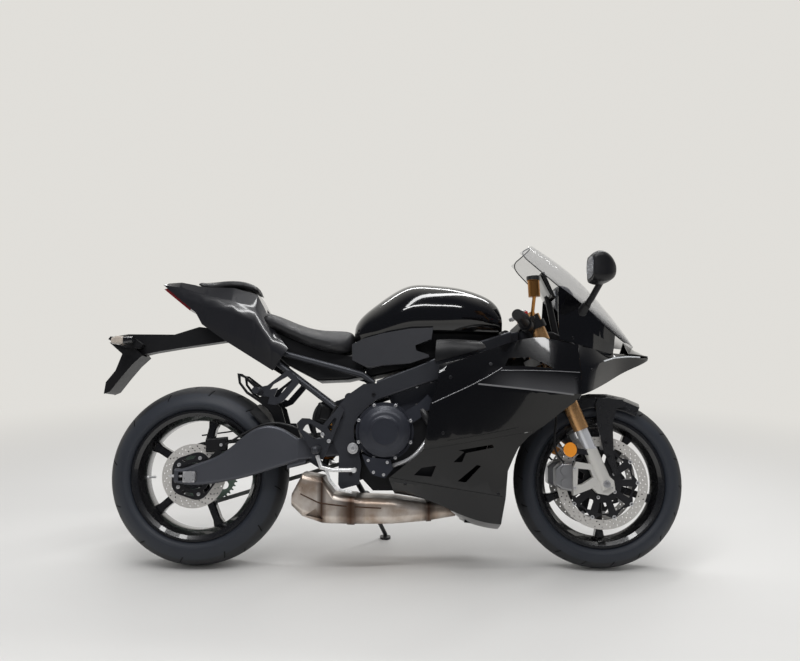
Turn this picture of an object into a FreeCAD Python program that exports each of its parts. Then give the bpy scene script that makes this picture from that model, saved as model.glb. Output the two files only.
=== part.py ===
"""Sport motorcycle parked on its side stand, one STEP file per piece.

Every piece is modelled in the upright bike frame: +X forward, +Y to the rider's left, +Z up,
zero at mid-wheelbase on the centre plane at road height. The last step leans the whole bike
onto its stand and puts the origin under the middle of its box.
"""
import FreeCAD, Part
import functools
import math
import os

Vec = FreeCAD.Vector

# Overall layout
WHEELBASE = 1420.0
LEAN_DEG = 11.0
RAKE_DEG = 22.6
TRAIL = 94.0

# Wheels and tyres
FRONT_TYRE_R = 299.9
FRONT_TYRE_W = 120.0
FRONT_CROWN_R = 62.0
REAR_TYRE_R = 314.9
REAR_TYRE_W = 180.0
REAR_CROWN_R = 95.0
BEAD_R = 218.0
TYRE_WALL = 9.0
TREAD_WALL = 14.0
CROWN_STEPS = 8
WALL_STEPS = 3
ROOF_STEPS = 2
RIM_LIP_R = 226.0
RIM_INNER_R = 190.0
RIM_WALL = 6.0
FLANGE_T = 8.0
FRONT_RIM_W = 96.0
REAR_RIM_W = 148.0
SPOKE_COUNT = 5

# Axles, discs and final drive
FRONT_AXLE_R = 12.5
REAR_AXLE_R = 14.0
AXLE_FIT = 0.05
FRONT_DISC_R = 160.0
FRONT_DISC_BAND = 34.0
FRONT_DISC_Y = 71.0
REAR_DISC_R = 110.0
REAR_DISC_BAND = 32.0
REAR_DISC_Y = 99.0
DISC_T = 5.0
CALIPER_CLEAR = 5.0
CHAIN_PITCH = 15.875
REAR_TEETH = 43
FRONT_TEETH = 16
CHAIN_Y = 103.0
PLATE_T = 2.0
CHAIN_INSIDE = 3.8
LINK_R = 7.2
PIN_R = 3.2
PIN_FREE_R = CHAIN_PITCH / (2 * math.sin(math.pi / REAR_TEETH)) + 12.0

# Front fork and steering
FORK_SPREAD = 105.0
FORK_OUTER_R = 27.0
FORK_INNER_R = 21.5
FORK_TOP_Z = 885.0
FORK_OUTER_LOW_Z = 486.0
STEM_R = 16.0
STEM_BORE_R = 10.0
CLAMP_LOW_Z = 743.0
CLAMP_LOW_T = 34.0
CLAMP_TOP_Z = 872.0
CLAMP_TOP_T = 22.0
STEER_LOCK_DEG = 26.0

# Body
PANEL_T = 3.0
SEAM = 0.6
SCREEN_T = 3.0
NOSE_SEAM_X = 617.0
BAR_HALF = 335.0
MIRROR_HALF = 352.5
FRAME_PLATE_IN = 118.0
FRAME_PLATE_OUT = 146.0
ARM_IN = 118.0
ARM_OUT = 144.0
PIVOT = (-158.0, 416.0)
COUNTERSHAFT = (-75.0, 440.0)
PIVOT_R = 10.0
FIT_GAP = 0.3

LEAN = math.radians(LEAN_DEG)
RAKE = math.radians(RAKE_DEG)
FRONT_AXLE = Vec(WHEELBASE / 2, 0, FRONT_TYRE_R - FRONT_CROWN_R + FRONT_CROWN_R / math.cos(LEAN))
REAR_AXLE = Vec(-WHEELBASE / 2, 0, REAR_TYRE_R - REAR_CROWN_R + REAR_CROWN_R / math.cos(LEAN))
FORK_OFFSET = FRONT_TYRE_R * math.sin(RAKE) - TRAIL * math.cos(RAKE)
STEER_DIR = Vec(-math.sin(RAKE), 0, math.cos(RAKE))
STEM_BORE_LENGTH = (CLAMP_TOP_Z - CLAMP_LOW_Z) / math.cos(RAKE) + (CLAMP_LOW_T + CLAMP_TOP_T) / 2


# Shape helpers


def wire_xz(points, y=0.0):
    """Closed polygon of (x, z) points in the plane at y."""
    ring = [Vec(x, y, z) for x, z in points]
    return Part.makePolygon(ring + ring[:1])


def prism(points, y_low, y_high):
    """Side-view outline given a width from y_low to y_high."""
    face = Part.Face(wire_xz(points, y_low))
    return face.extrude(Vec(0, y_high - y_low, 0))



def mirrored(shape):
    """The same piece on the other side of the centre plane."""
    return shape.mirror(Vec(0, 0, 0), Vec(0, 1, 0))


def both(shape):
    """A piece and its mirror image as one compound."""
    return Part.Compound([shape, mirrored(shape)])


def fused(shapes):
    """One clean solid from overlapping shapes."""
    first, rest = shapes[0], shapes[1:]
    return first.multiFuse(rest).removeSplitter() if rest else first


def rod(start, end, radius, end_radius=None):
    """Round bar between two points, tapered when the end radius differs."""
    a, b = Vec(*start), Vec(*end)
    along = b - a
    if end_radius is None or abs(end_radius - radius) < 1e-6:
        return Part.makeCylinder(radius, along.Length, a, along)
    return Part.makeCone(radius, end_radius, along.Length, a, along)


def ball(centre, radius):
    """Solid sphere at a point."""
    return Part.makeSphere(radius, Vec(*centre))


def bent_bar(points, radius):
    """Round bar through corner points, its corners rounded by balls."""
    runs = [rod(a, b, radius) for a, b in zip(points, points[1:])]
    joints = [ball(p, radius) for p in points[1:-1]]
    return fused(runs + joints)


def ring_y(x, z, outer, inner, y_low, y_high):
    """Flat ring about a line along Y."""
    height = y_high - y_low
    disc = Part.makeCylinder(outer, height, Vec(x, y_low, z), Vec(0, 1, 0))
    return disc.cut(Part.makeCylinder(inner, height, Vec(x, y_low, z), Vec(0, 1, 0)))


def disc_y(x, z, radius, y_low, y_high):
    """Solid disc about a line along Y."""
    return Part.makeCylinder(radius, y_high - y_low, Vec(x, y_low, z), Vec(0, 1, 0))


def rounded_section(x, y_low, y_high, z_low, z_high, radius):
    """Rounded rectangle across the bike at one station along X."""
    r = min(radius, (y_high - y_low) / 2.2, (z_high - z_low) / 2.2)
    corners = ((y_high - r, z_high - r, 0), (y_low + r, z_high - r, 90),
               (y_low + r, z_low + r, 180), (y_high - r, z_low + r, 270))
    edges = []
    last = None
    first = None
    for cy, cz, start in corners:
        angles = [math.radians(start + step) for step in (0, 45, 90)]
        a, b, c = [Vec(x, cy + r * math.cos(t), cz + r * math.sin(t)) for t in angles]
        if last is not None:
            edges.append(Part.LineSegment(last, a).toShape())
        else:
            first = a
        edges.append(Part.Arc(a, b, c).toShape())
        last = c
    edges.append(Part.LineSegment(last, first).toShape())
    return Part.Wire(edges)


def body_loft(stations, radius, ruled=False):
    """Loft of rounded rectangles: each station is (x, y_low, y_high, z_low, z_high)."""
    wires = [rounded_section(*station, radius) for station in stations]
    return Part.makeLoft(wires, True, ruled)


def sheet_section(place, points, thickness):
    """Closed thin strip: points are (across, up) pairs and place turns a pair into a vector."""
    normals = []
    for i in range(len(points)):
        before = points[max(i - 1, 0)]
        after = points[min(i + 1, len(points) - 1)]
        dy, dz = after[0] - before[0], after[1] - before[1]
        size = math.hypot(dy, dz)
        normals.append((dz / size, -dy / size))
    inner = [(p[0] - n[0] * thickness, p[1] - n[1] * thickness) for p, n in zip(points, normals)]
    ring = [place(*p) for p in points] + [place(*p) for p in reversed(inner)]
    return Part.makePolygon(ring + ring[:1])


def panel(stations, thickness, ruled=True):
    """Thin body panel: each station is (x, [(y, z), ...]), with the outside on the points' left."""
    wires = []
    for x, points in stations:
        wires.append(sheet_section(lambda y, z, x=x: Vec(x, y, z), points, thickness))
    return Part.makeLoft(wires, True, ruled)


def arch_section(x, z_top, z_wide, half_wide, z_low, half_low):
    """Domed closed section: flat below, one smooth curve over the top."""
    shoulder = half_wide * 0.72
    z_shoulder = z_wide + (z_top - z_wide) * 0.74
    right = [(-half_low, z_low), (-half_wide, z_wide), (-shoulder, z_shoulder)]
    left = [(-y, z) for y, z in reversed(right)]
    over = [Vec(x, y, z) for y, z in right + [(0.0, z_top)] + left]
    curve = Part.BSplineCurve()
    curve.interpolate(over)
    base = Part.LineSegment(over[-1], over[0]).toShape()
    return Part.Wire([curve.toShape(), base])


def arch_loft(stations):
    """Smooth loft of domed sections."""
    return Part.makeLoft([arch_section(*station) for station in stations], True, False)


def along_fork(z, ahead=0.0, y=0.0):
    """Point on the fork leg's line at height z, moved ahead square to the leg."""
    t = (z - FRONT_AXLE.z) / math.cos(RAKE)
    base = FRONT_AXLE + STEER_DIR * t
    return Vec(base.x + ahead * math.cos(RAKE), y, base.z + ahead * math.sin(RAKE))


def steer_point(z):
    """Point on the steering axis level with the fork point at height z."""
    return along_fork(z, -FORK_OFFSET)


# Wheels


def arc_points(start, middle, end, steps):
    """Points along the arc through three points, its two ends included."""
    arc = Part.Arc(start, middle, end)
    first, last = arc.FirstParameter, arc.LastParameter
    return [arc.value(first + (last - first) * k / steps) for k in range(steps + 1)]


def tyre(centre, outer_r, width, crown_r, rim_w):
    """Carcass of revolution, open to the rim, with a round crown and plain side walls."""
    crown_z = outer_r - crown_r
    half = width / 2
    edge_z = crown_z + math.sqrt(crown_r ** 2 - half ** 2)
    bead_half = rim_w / 2 - FLANGE_T - FIT_GAP
    crown = arc_points(Vec(0, -half, edge_z), Vec(0, 0, outer_r), Vec(0, half, edge_z), CROWN_STEPS)
    lip = Vec(0, bead_half, RIM_LIP_R + 3)
    belly = Vec(0, half - 2.0, edge_z * 0.55 + lip.z * 0.45)
    right = arc_points(Vec(0, half, edge_z), belly, lip, WALL_STEPS)[1:]
    foot = [Vec(0, bead_half, BEAD_R), Vec(0, -bead_half, BEAD_R)]
    left = [Vec(0, -p.y, p.z) for p in reversed(right)]
    ring = crown + right + foot + left
    outer = Part.Face(Part.makePolygon(ring + ring[:1])).revolve(Vec(0, 0, 0), Vec(0, 1, 0), 360)
    inside = bead_half - TYRE_WALL
    shoulder = half * 0.66
    shoulder_z = crown_z + math.sqrt((crown_r - TREAD_WALL) ** 2 - shoulder ** 2)
    roof = arc_points(Vec(0, -shoulder, shoulder_z), Vec(0, 0, outer_r - TREAD_WALL),
                      Vec(0, shoulder, shoulder_z), ROOF_STEPS)
    path = [Vec(0, inside, BEAD_R + TYRE_WALL), Vec(0, inside, BEAD_R - 1),
            Vec(0, -inside, BEAD_R - 1), Vec(0, -inside, BEAD_R + TYRE_WALL)]
    cavity = Part.makePolygon(roof + path + roof[:1])
    inner = Part.Face(cavity).revolve(Vec(0, 0, 0), Vec(0, 1, 0), 360)
    carcass = outer.cut(inner)
    carcass.translate(centre)
    return carcass


def rim(centre, width, hub_r, hub_half, axle_r, spoke_phase, spoke_w, spoke_depth):
    """Cast wheel: barrel, hub and tapered spokes in one casting."""
    half = width / 2
    seat_r = BEAD_R - FIT_GAP
    outer = [(half, RIM_LIP_R), (half - FLANGE_T + 1, RIM_LIP_R), (half - FLANGE_T, seat_r),
             (half - 30, seat_r - 1),
             (half - 38, RIM_INNER_R + RIM_WALL)]
    inner = [(half - 42, RIM_INNER_R), (half - 8, seat_r - 12), (half, RIM_LIP_R - 8)]
    right = outer + [(-y, z) for y, z in reversed(outer)]
    inside = [(-y, z) for y, z in reversed(inner)]
    ring = [Vec(0, y, z) for y, z in right + inside + list(reversed([(-y, z) for y, z in inside]))]
    barrel = Part.Face(Part.makePolygon(ring + ring[:1])).revolve(Vec(0, 0, 0), Vec(0, 1, 0), 360)
    hub = Part.makeCylinder(hub_r, 2 * hub_half, Vec(0, -hub_half, 0), Vec(0, 1, 0))
    pieces = [barrel, hub]
    reach = RIM_INNER_R + RIM_WALL / 2
    for k in range(SPOKE_COUNT):
        wires = []
        for radius, share in ((hub_r * 0.6, 1.25), (hub_r + 25, 0.85), (reach - 25, 0.8), (reach, 1.2)):
            w, d = spoke_w * share / 2, spoke_depth / 2
            cut = w * 0.35
            pts = [(-w, -d + cut), (-w + cut, -d), (w - cut, -d), (w, -d + cut),
                   (w, d - cut), (w - cut, d), (-w + cut, d), (-w, d - cut)]
            ring = [Vec(radius, y, x) for x, y in pts]
            wires.append(Part.makePolygon(ring + ring[:1]))
        spoke = Part.makeLoft(wires, True, True)
        spoke.rotate(Vec(0, 0, 0), Vec(0, 1, 0), -(spoke_phase + 360.0 / SPOKE_COUNT * k))
        pieces.append(spoke)
    wheel = fused(pieces)
    bore = Part.makeCylinder(axle_r + AXLE_FIT, 4 * hub_half, Vec(0, -2 * hub_half, 0), Vec(0, 1, 0))
    wheel = wheel.cut(bore)
    wheel.translate(centre)
    return wheel


def brake_disc(centre, outer_r, band, y_mid, hub_r, arms):
    """Braking band carried by short arms on an inner ring."""
    low, high = y_mid - DISC_T / 2, y_mid + DISC_T / 2
    band_ring = ring_y(centre.x, centre.z, outer_r, outer_r - band, low, high)
    carrier = ring_y(centre.x, centre.z, hub_r + 14, hub_r, low, high)
    pieces = [band_ring, carrier]
    for k in range(arms):
        turn = 360.0 / arms * k
        arm = Part.makeBox(outer_r - band - hub_r - 4, DISC_T, 12, Vec(hub_r + 8, low, -6))
        arm.rotate(Vec(0, 0, 0), Vec(0, 1, 0), turn)
        arm.translate(Vec(centre.x, 0, centre.z))
        pieces.append(arm)
    return fused(pieces)


FRONT_HUB_R = 34.0
REAR_HUB_R = 44.0


def front_wheel():
    """Front tyre, casting and its two discs."""
    hub_end = FRONT_DISC_Y + DISC_T / 2
    casting = rim(FRONT_AXLE, FRONT_RIM_W, FRONT_HUB_R, hub_end, FRONT_AXLE_R, -90.0, 30.0, 34.0)
    right = brake_disc(FRONT_AXLE, FRONT_DISC_R, FRONT_DISC_BAND, -FRONT_DISC_Y, FRONT_HUB_R, 10)
    left = brake_disc(FRONT_AXLE, FRONT_DISC_R, FRONT_DISC_BAND, FRONT_DISC_Y, FRONT_HUB_R, 10)
    return {"front_tyre": tyre(FRONT_AXLE, FRONT_TYRE_R, FRONT_TYRE_W, FRONT_CROWN_R, FRONT_RIM_W),
            "front_rim": casting,
            "front_discs": Part.Compound([right, left])}


def sprocket(centre, teeth, y_mid, thickness, hub_r):
    """Toothed ring with lightening holes, on the pitch circle of its tooth count."""
    pitch_r = CHAIN_PITCH / (2 * math.sin(math.pi / teeth))
    tip, root = pitch_r + 3.5, pitch_r - 4.5
    ring = []
    for k in range(teeth):
        for part, radius in ((-0.28, root), (-0.1, tip), (0.1, tip), (0.28, root)):
            a = 2 * math.pi * (k + part) / teeth
            ring.append((centre.x + radius * math.cos(a), centre.z + radius * math.sin(a)))
    body = prism(ring, y_mid - thickness / 2, y_mid + thickness / 2)
    body = body.cut(disc_y(centre.x, centre.z, hub_r, y_mid - thickness, y_mid + thickness))
    holes = []
    for k in range(5):
        a = 2 * math.pi * (k + 0.5) / 5
        middle = (hub_r + root) / 2
        holes.append(disc_y(centre.x + middle * math.cos(a), centre.z + middle * math.sin(a),
                            16.0, y_mid - thickness, y_mid + thickness))
    return body.cut(Part.Compound(holes))


def rear_wheel():
    """Rear tyre, casting, disc and sprocket."""
    hub_end = CHAIN_Y + 3
    casting = rim(REAR_AXLE, REAR_RIM_W, REAR_HUB_R, hub_end, REAR_AXLE_R, 5.0, 34.0, 40.0)
    disc = brake_disc(REAR_AXLE, REAR_DISC_R, REAR_DISC_BAND, -REAR_DISC_Y, REAR_HUB_R, 5)
    return {"rear_tyre": tyre(REAR_AXLE, REAR_TYRE_R, REAR_TYRE_W, REAR_CROWN_R, REAR_RIM_W),
            "rear_rim": casting,
            "rear_disc": disc,
            "rear_sprocket": sprocket(REAR_AXLE, REAR_TEETH, CHAIN_Y, 5.0, REAR_HUB_R)}


# Final drive


def chain_pins():
    """Pin centres (x, z) one pitch apart along the pitch line round both sprockets."""
    big = CHAIN_PITCH / (2 * math.sin(math.pi / REAR_TEETH))
    small = CHAIN_PITCH / (2 * math.sin(math.pi / FRONT_TEETH))
    dx, dz = COUNTERSHAFT[0] - REAR_AXLE.x, COUNTERSHAFT[1] - REAR_AXLE.z
    span = math.hypot(dx, dz)
    slope = math.atan2(dz, dx)
    wrap = math.acos((big - small) / span)
    straight = math.sqrt(span ** 2 - (big - small) ** 2)
    rear_arc, front_arc = big * 2 * (math.pi - wrap), small * 2 * wrap
    total = rear_arc + front_arc + 2 * straight
    count = 2 * round(total / CHAIN_PITCH / 2)

    def at(cx, cz, radius, angle):
        return cx + radius * math.cos(angle), cz + radius * math.sin(angle)

    up, down = slope + wrap, slope - wrap
    pins = []
    for k in range(count):
        run = total * k / count
        if run < rear_arc:
            pins.append(at(REAR_AXLE.x, REAR_AXLE.z, big, up + run / big))
        elif run < rear_arc + straight:
            a = at(REAR_AXLE.x, REAR_AXLE.z, big, down)
            t = run - rear_arc
            pins.append((a[0] + t * math.cos(down + math.pi / 2), a[1] + t * math.sin(down + math.pi / 2)))
        elif run < rear_arc + straight + front_arc:
            t = run - rear_arc - straight
            pins.append(at(COUNTERSHAFT[0], COUNTERSHAFT[1], small, down + t / small))
        else:
            a = at(COUNTERSHAFT[0], COUNTERSHAFT[1], small, up)
            t = run - rear_arc - straight - front_arc
            pins.append((a[0] + t * math.cos(up + math.pi / 2), a[1] + t * math.sin(up + math.pi / 2)))
    return pins


def drive_chain():
    """Roller chain: inner and outer links by turns on their pins."""
    pins = chain_pins()
    links = []
    for k, (a, b) in enumerate(zip(pins, pins[1:] + pins[:1])):
        dx, dz = b[0] - a[0], b[1] - a[1]
        size = math.hypot(dx, dz)
        ux, uz = dx / size, dz / size
        near = CHAIN_INSIDE if k % 2 == 0 else CHAIN_INSIDE + PLATE_T
        outline = []
        for along, across in ((-LINK_R, 0), (-3.0, LINK_R), (size + 3.0, LINK_R), (size + LINK_R, 0),
                              (size + 3.0, -LINK_R), (-3.0, -LINK_R)):
            outline.append((a[0] + ux * along - uz * across, a[1] + uz * along + ux * across))
        for low in (CHAIN_Y + near, CHAIN_Y - near - PLATE_T):
            links.append(prism(outline, low, low + PLATE_T))
        reach = CHAIN_INSIDE + 2 * PLATE_T
        hexagon = [(a[0] + PIN_R * math.cos(math.pi * s / 3), a[1] + PIN_R * math.sin(math.pi * s / 3))
                   for s in range(6)]
        if math.hypot(a[0] - REAR_AXLE.x, a[1] - REAR_AXLE.z) > PIN_FREE_R:
            links.append(prism(hexagon, CHAIN_Y - reach, CHAIN_Y + reach))
    return fused(links)


# Frame, engine and exhaust


@functools.cache
def main_frame():
    """Twin-spar frame with pivot plates, steering head and cross members."""
    plate = prism([(-60, 640), (-125, 636), (-174, 601), (-209, 562), (-231, 514), (-234, 466),
                   (-222, 425), (-206, 390), (-207, 295), (-197, 278), (-137, 295), (-129, 363),
                   (-140, 410), (-156, 450), (-156, 492), (-143, 523), (-112, 557), (-69, 590)],
                  -FRAME_PLATE_OUT, -FRAME_PLATE_IN)
    stations = [(-80.0, -FRAME_PLATE_OUT, -FRAME_PLATE_IN, 578.0, 648.0),
                (60.0, -168.0, -140.0, 628.0, 700.0),
                (220.0, -150.0, -112.0, 676.0, 770.0),
                (400.0, -62.0, -30.0, 765.0, 836.0)]
    spar = body_loft(stations, 8.0, ruled=True)
    side = fused([plate, spar])
    head = rod(tuple(steer_point(HEAD_LOW_Z)), tuple(steer_point(HEAD_HIGH_Z)), HEAD_R)
    cross_rear = rod((CROSS_TUBE[0], -125, CROSS_TUBE[1]), (CROSS_TUBE[0], 125, CROSS_TUBE[1]), 16)
    cross_low = rod((-165, -125, 305), (-165, 125, 305), 14)
    neck = body_loft([(375.0, -50.0, 50.0, 772.0, 830.0), (430.0, -32.0, 32.0, 780.0, 838.0)], 8.0)
    lugs = shock_lugs(CROSS_TUBE, SHOCK_HIGH)
    frame = fused([side, mirrored(side), head, cross_rear, cross_low, neck] + lugs)
    frame = frame.cut(rod(tuple(steer_point(700.0)), tuple(steer_point(960.0)), STEM_R + AXLE_FIT))
    pin = disc_y(PIVOT[0], PIVOT[1], PIVOT_R, -FRAME_PLATE_OUT - 8, FRAME_PLATE_OUT + 8)
    return fused([frame, pin, stand_lug()])


CROSS_TUBE = (-175.0, 590.0)
HEAD_LOW_Z = 768.0
HEAD_HIGH_Z = 855.0
HEAD_R = 33.0
SHOCK_LOW = (-268.0, 345.0)
SHOCK_HIGH = (-222.0, 570.0)
SHOCK_EYE_R = 14.0
SHOCK_EYE_HALF = 15.0


def shock_lugs(carrier, eye):
    """Pair of flat lugs from a carrier point to a shock eye, both as (x, z)."""
    dx, dz = eye[0] - carrier[0], eye[1] - carrier[1]
    size = math.hypot(dx, dz)
    nx, nz = -dz / size * 12, dx / size * 12
    ex, ez = eye[0] + dx / size * 12, eye[1] + dz / size * 12
    side = [(carrier[0] + nx, carrier[1] + nz), (ex + nx, ez + nz), (ex - nx, ez - nz),
            (carrier[0] - nx, carrier[1] - nz)]
    near = SHOCK_EYE_HALF + FIT_GAP
    lug = prism(side, near, near + 8)
    return [lug, mirrored(lug)]


STAND_PIVOT = Vec(-125.0, 150.0, 236.0)
STAND_FOOT = Vec(-53.0, 296.0, 296.0 * math.tan(LEAN))
STAND_AXIS = Vec(0.0, 0.833, 0.553)
STAND_EYE_T = 12.0
STAND_EYE_R = 16.0
STAND_BOLT_R = 5.0
STAND_PAD_R = 21.0
STAND_PAD_T = 8.0
STAND_SWING_DEG = 95.0


def stand_lug():
    """Lug under the left pivot plate that carries the side stand's bolt."""
    axis = Vec(STAND_AXIS).normalize()
    face = STAND_PIVOT - axis * (STAND_EYE_T / 2 + FIT_GAP)
    disc = Part.makeCylinder(STAND_EYE_R, 10, face - axis * 10, axis)
    web = rod((-163.0, 84.0, 302.0), tuple(face - axis * 6), 10.0)
    base = fused([disc, web]).cut(Part.makeCylinder(60, 60, face, axis))
    bolt = Part.makeCylinder(STAND_BOLT_R, STAND_EYE_T + 6, face - axis * 2, axis)
    head = Part.makeCylinder(9.0, 5, face + axis * (STAND_EYE_T + 2 * FIT_GAP), axis)
    return fused([base, bolt, head])


def side_stand():
    """Eye, leg and foot pad of the side stand."""
    axis = Vec(STAND_AXIS).normalize()
    low, high = STAND_PIVOT - axis * STAND_EYE_T / 2, STAND_PIVOT + axis * STAND_EYE_T / 2
    eye = Part.makeCylinder(STAND_EYE_R, STAND_EYE_T, low, axis)
    along = (STAND_FOOT - STAND_PIVOT).normalize()
    ankle = STAND_FOOT + Vec(0, math.sin(LEAN), math.cos(LEAN)) * 16
    leg = rod(tuple(STAND_PIVOT + along * 6), tuple(ankle), 9.0, 8.0)
    clear = STAND_EYE_R + 6
    leg = leg.cut(Part.makeCylinder(clear, 20, low - axis * 20, axis))
    leg = leg.cut(Part.makeCylinder(clear, 20, high, axis))
    pad = Part.makeCylinder(STAND_PAD_R, STAND_PAD_T, Vec(0, 0, 0), Vec(0, 0, 1))
    pad.rotate(Vec(0, 0, 0), Vec(1, 0, 0), LEAN_DEG)
    pad.translate(STAND_FOOT)
    neck = rod(tuple(ankle), tuple(STAND_FOOT + Vec(0, 0, 3)), 8.0)
    bore = Part.makeCylinder(STAND_BOLT_R + AXLE_FIT, 60, STAND_PIVOT - axis * 30, axis)
    return fused([eye, leg, ball(tuple(ankle), 8.0), neck, pad]).cut(bore)


@functools.cache
def engine_block():
    """Plain block of the crankcase and the cylinders at their real size, with the output sprocket."""
    case = prism([(-145, 330), (-145, 520), (-60, 560), (120, 560), (250, 540), (270, 400),
                  (215, 300), (60, 272), (-90, 272)], -106, 106)
    wide = prism([(-118, 395), (-90, 545), (110, 545), (235, 520), (250, 400), (190, 320), (-60, 320)],
                 -150, 150)
    head = prism([(60, 540), (95, 665), (250, 686), (335, 560), (255, 500)], -100, 100)
    block = fused([case, wide, head]).cut(disc_y(PIVOT[0], PIVOT[1], 34, -200, 200))
    block = block.cut(prism(SPROCKET_POCKET, CHAIN_Y - 16, 200))
    bolts = [disc_y(170, 668, 12, -140, 140), disc_y(-142, 515, 12, -130, 130)]
    block = fused([block] + [bolt.cut(main_frame()) for bolt in bolts])
    shaft = disc_y(COUNTERSHAFT[0], COUNTERSHAFT[1], 14, CHAIN_Y - 17, CHAIN_Y + 7)
    wheel = disc_y(COUNTERSHAFT[0], COUNTERSHAFT[1], 37, CHAIN_Y - 2.5, CHAIN_Y + 2.5)
    return fused([block, shaft, wheel])


SPROCKET_POCKET = [(-150, 345), (-150, 525), (-60, 500), (-18, 475), (-18, 405), (-60, 372)]


def engine_covers():
    """Domed clutch cover and pump cover on the right, generator and sprocket covers on the left."""
    x, z = -50.0, 474.0
    profile = [(0, 60), (44, 60), (50, 54), (66, 50), (86, 36), (92, 20), (92, 12), (99, 12), (99, 0), (0, 0)]
    ring = [Vec(r, 0, h) for r, h in profile]
    dome = Part.Face(Part.makePolygon(ring + ring[:1])).revolve(Vec(0, 0, 0), Vec(0, 0, 1), 360)
    dome.rotate(Vec(0, 0, 0), Vec(1, 0, 0), 90)
    dome.translate(Vec(x, -150, z))
    bosses = []
    for k in range(8):
        a = 2 * math.pi * (k + 0.5) / 8
        bosses.append(disc_y(x + 95 * math.cos(a), z + 95 * math.sin(a), 9, -166, -150))
    pump = prism([(-126, 398), (-100, 387), (-30, 380), (-20, 350), (-48, 318), (-92, 330), (-112, 362)],
                 -186, -105)
    neck = prism([(15, 540), (60, 566), (96, 600), (120, 570), (70, 520), (40, 500)], -168, -150)
    clutch = fused([dome, pump, neck] + bosses).cut(engine_block())
    generator = fused([disc_y(56, 456, 70, 150, 176), disc_y(56, 456, 36, 175, 182)])
    guard = prism(SPROCKET_POCKET, CHAIN_Y + 12, 160).common(Part.makeBox(110, 60, 170, Vec(-116, 110, 350)))
    return Part.Compound([max(clutch.Solids, key=lambda solid: solid.Volume), generator, guard.cut(engine_block())])


def exhaust_header():
    """Three down pipes in front of the engine, gathered under it."""
    pipes = []
    for y, end in ((-70, -40), (0, 0), (70, 40)):
        pipes.append(bent_bar([(300, y, 610), (352, y, 560), (345, y * 0.9, 420), (300, end, 270),
                               (190, end * 0.8, 204)], 19.0))
    return fused(pipes).cut(muffler()).cut(engine_block())


@functools.cache
def muffler():
    """Under-engine silencer with its tall rear chamber, clamp bands and side outlet."""
    stations = [(198.0, -60.0, 60.0, 182.0, 222.0), (100.0, -95.0, 95.0, 168.0, 228.0),
                (-20.0, -140.0, 110.0, 162.0, 246.0), (-150.0, -145.0, 110.0, 161.0, 250.0),
                (-225.0, -145.0, 100.0, 162.0, 262.0), (-262.0, -145.0, 60.0, 164.0, 316.0),
                (-330.0, -140.0, 20.0, 186.0, 332.0), (-368.0, -120.0, 0.0, 218.0, 262.0)]
    body = body_loft(stations, 28.0, ruled=True)
    bands = [body_loft([(94.0, -99.0, 99.0, 165.0, 232.0), (112.0, -96.0, 96.0, 166.0, 231.0)], 28.0, ruled=True),
             body_loft([(-176.0, -148.0, 110.0, 158.5, 255.0), (-150.0, -148.5, 113.0, 158.0, 253.5)], 28.0, ruled=True)]
    outlet = prism([(-318, 190), (-256, 178), (-282, 214)], -160, -118)
    return fused([body] + bands).cut(outlet)


def radiator():
    """Curved-core radiator and oil cooler in front of the engine."""
    core = prism([(395, 430), (430, 450), (405, 690), (373, 680)], -150, 150)
    brackets = [rod((395, y, 600), (270, y, 600), 6) for y in (-95, 95)]
    return fused([core] + [bar.cut(engine_block()) for bar in brackets])


# Rear end


@functools.cache
def swingarm():
    """Two bulging gull-shaped beams joined ahead of the tyre, on the pivot tube."""
    stations = [(-766.0, -ARM_OUT, -ARM_IN, 296.0, 344.0), (-700.0, -ARM_OUT, -ARM_IN, 288.0, 358.0),
                (-648.0, -ARM_OUT, -ARM_IN, 292.0, 376.0), (-580.0, -ARM_OUT - 3, -ARM_IN, 303.0, 415.0),
                (-522.0, -ARM_OUT - 6, -ARM_IN, 316.0, 464.0), (-450.0, -ARM_OUT - 8, -ARM_IN, 338.0, 492.0),
                (-395.0, -ARM_OUT - 4, -ARM_IN, 356.0, 478.0), (-345.0, -ARM_OUT + 2, -ARM_IN + 4, 372.0, 448.0)]
    side = body_loft(stations, ARM_ROUND)
    front = [(-350.0, -ARM_OUT + 2, -ARM_IN + 4, 374.0, 450.0), (-250.0, -112.0, -70.0, 385.0, 450.0),
             (-170.0, -112.0, -70.0, 392.0, 440.0)]
    taper = body_loft(front, 8.0, ruled=True)
    half = fused([side, taper])
    bridge = body_loft([(-385.0, -ARM_IN - 6, ARM_IN + 6, 344.0, 430.0),
                        (-322.0, -ARM_IN - 6, ARM_IN + 6, 360.0, 436.0)], 12.0)
    tube = disc_y(PIVOT[0], PIVOT[1], 26, -FRAME_PLATE_IN + 2, FRAME_PLATE_IN - 2)
    lugs = shock_lugs((-330.0, 385.0), SHOCK_LOW)
    arm = fused([half, mirrored(half), bridge, tube] + lugs)
    arm = arm.cut(disc_y(PIVOT[0], PIVOT[1], PIVOT_R + AXLE_FIT, -200, 200))
    slot = prism([(-752, 302), (-690, 302), (-690, 332), (-752, 332)], -200, 200)
    pad = disc_y(REAR_AXLE.x, REAR_AXLE.z, 24, -ARM_OUT - 20, -ARM_OUT)
    inside = disc_y(REAR_AXLE.x, REAR_AXLE.z, 26, -ARM_IN, 0)
    return arm.cut(Part.Compound([slot, pad, mirrored(pad), inside, mirrored(inside)]))


ARM_ROUND = 11.0


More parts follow.
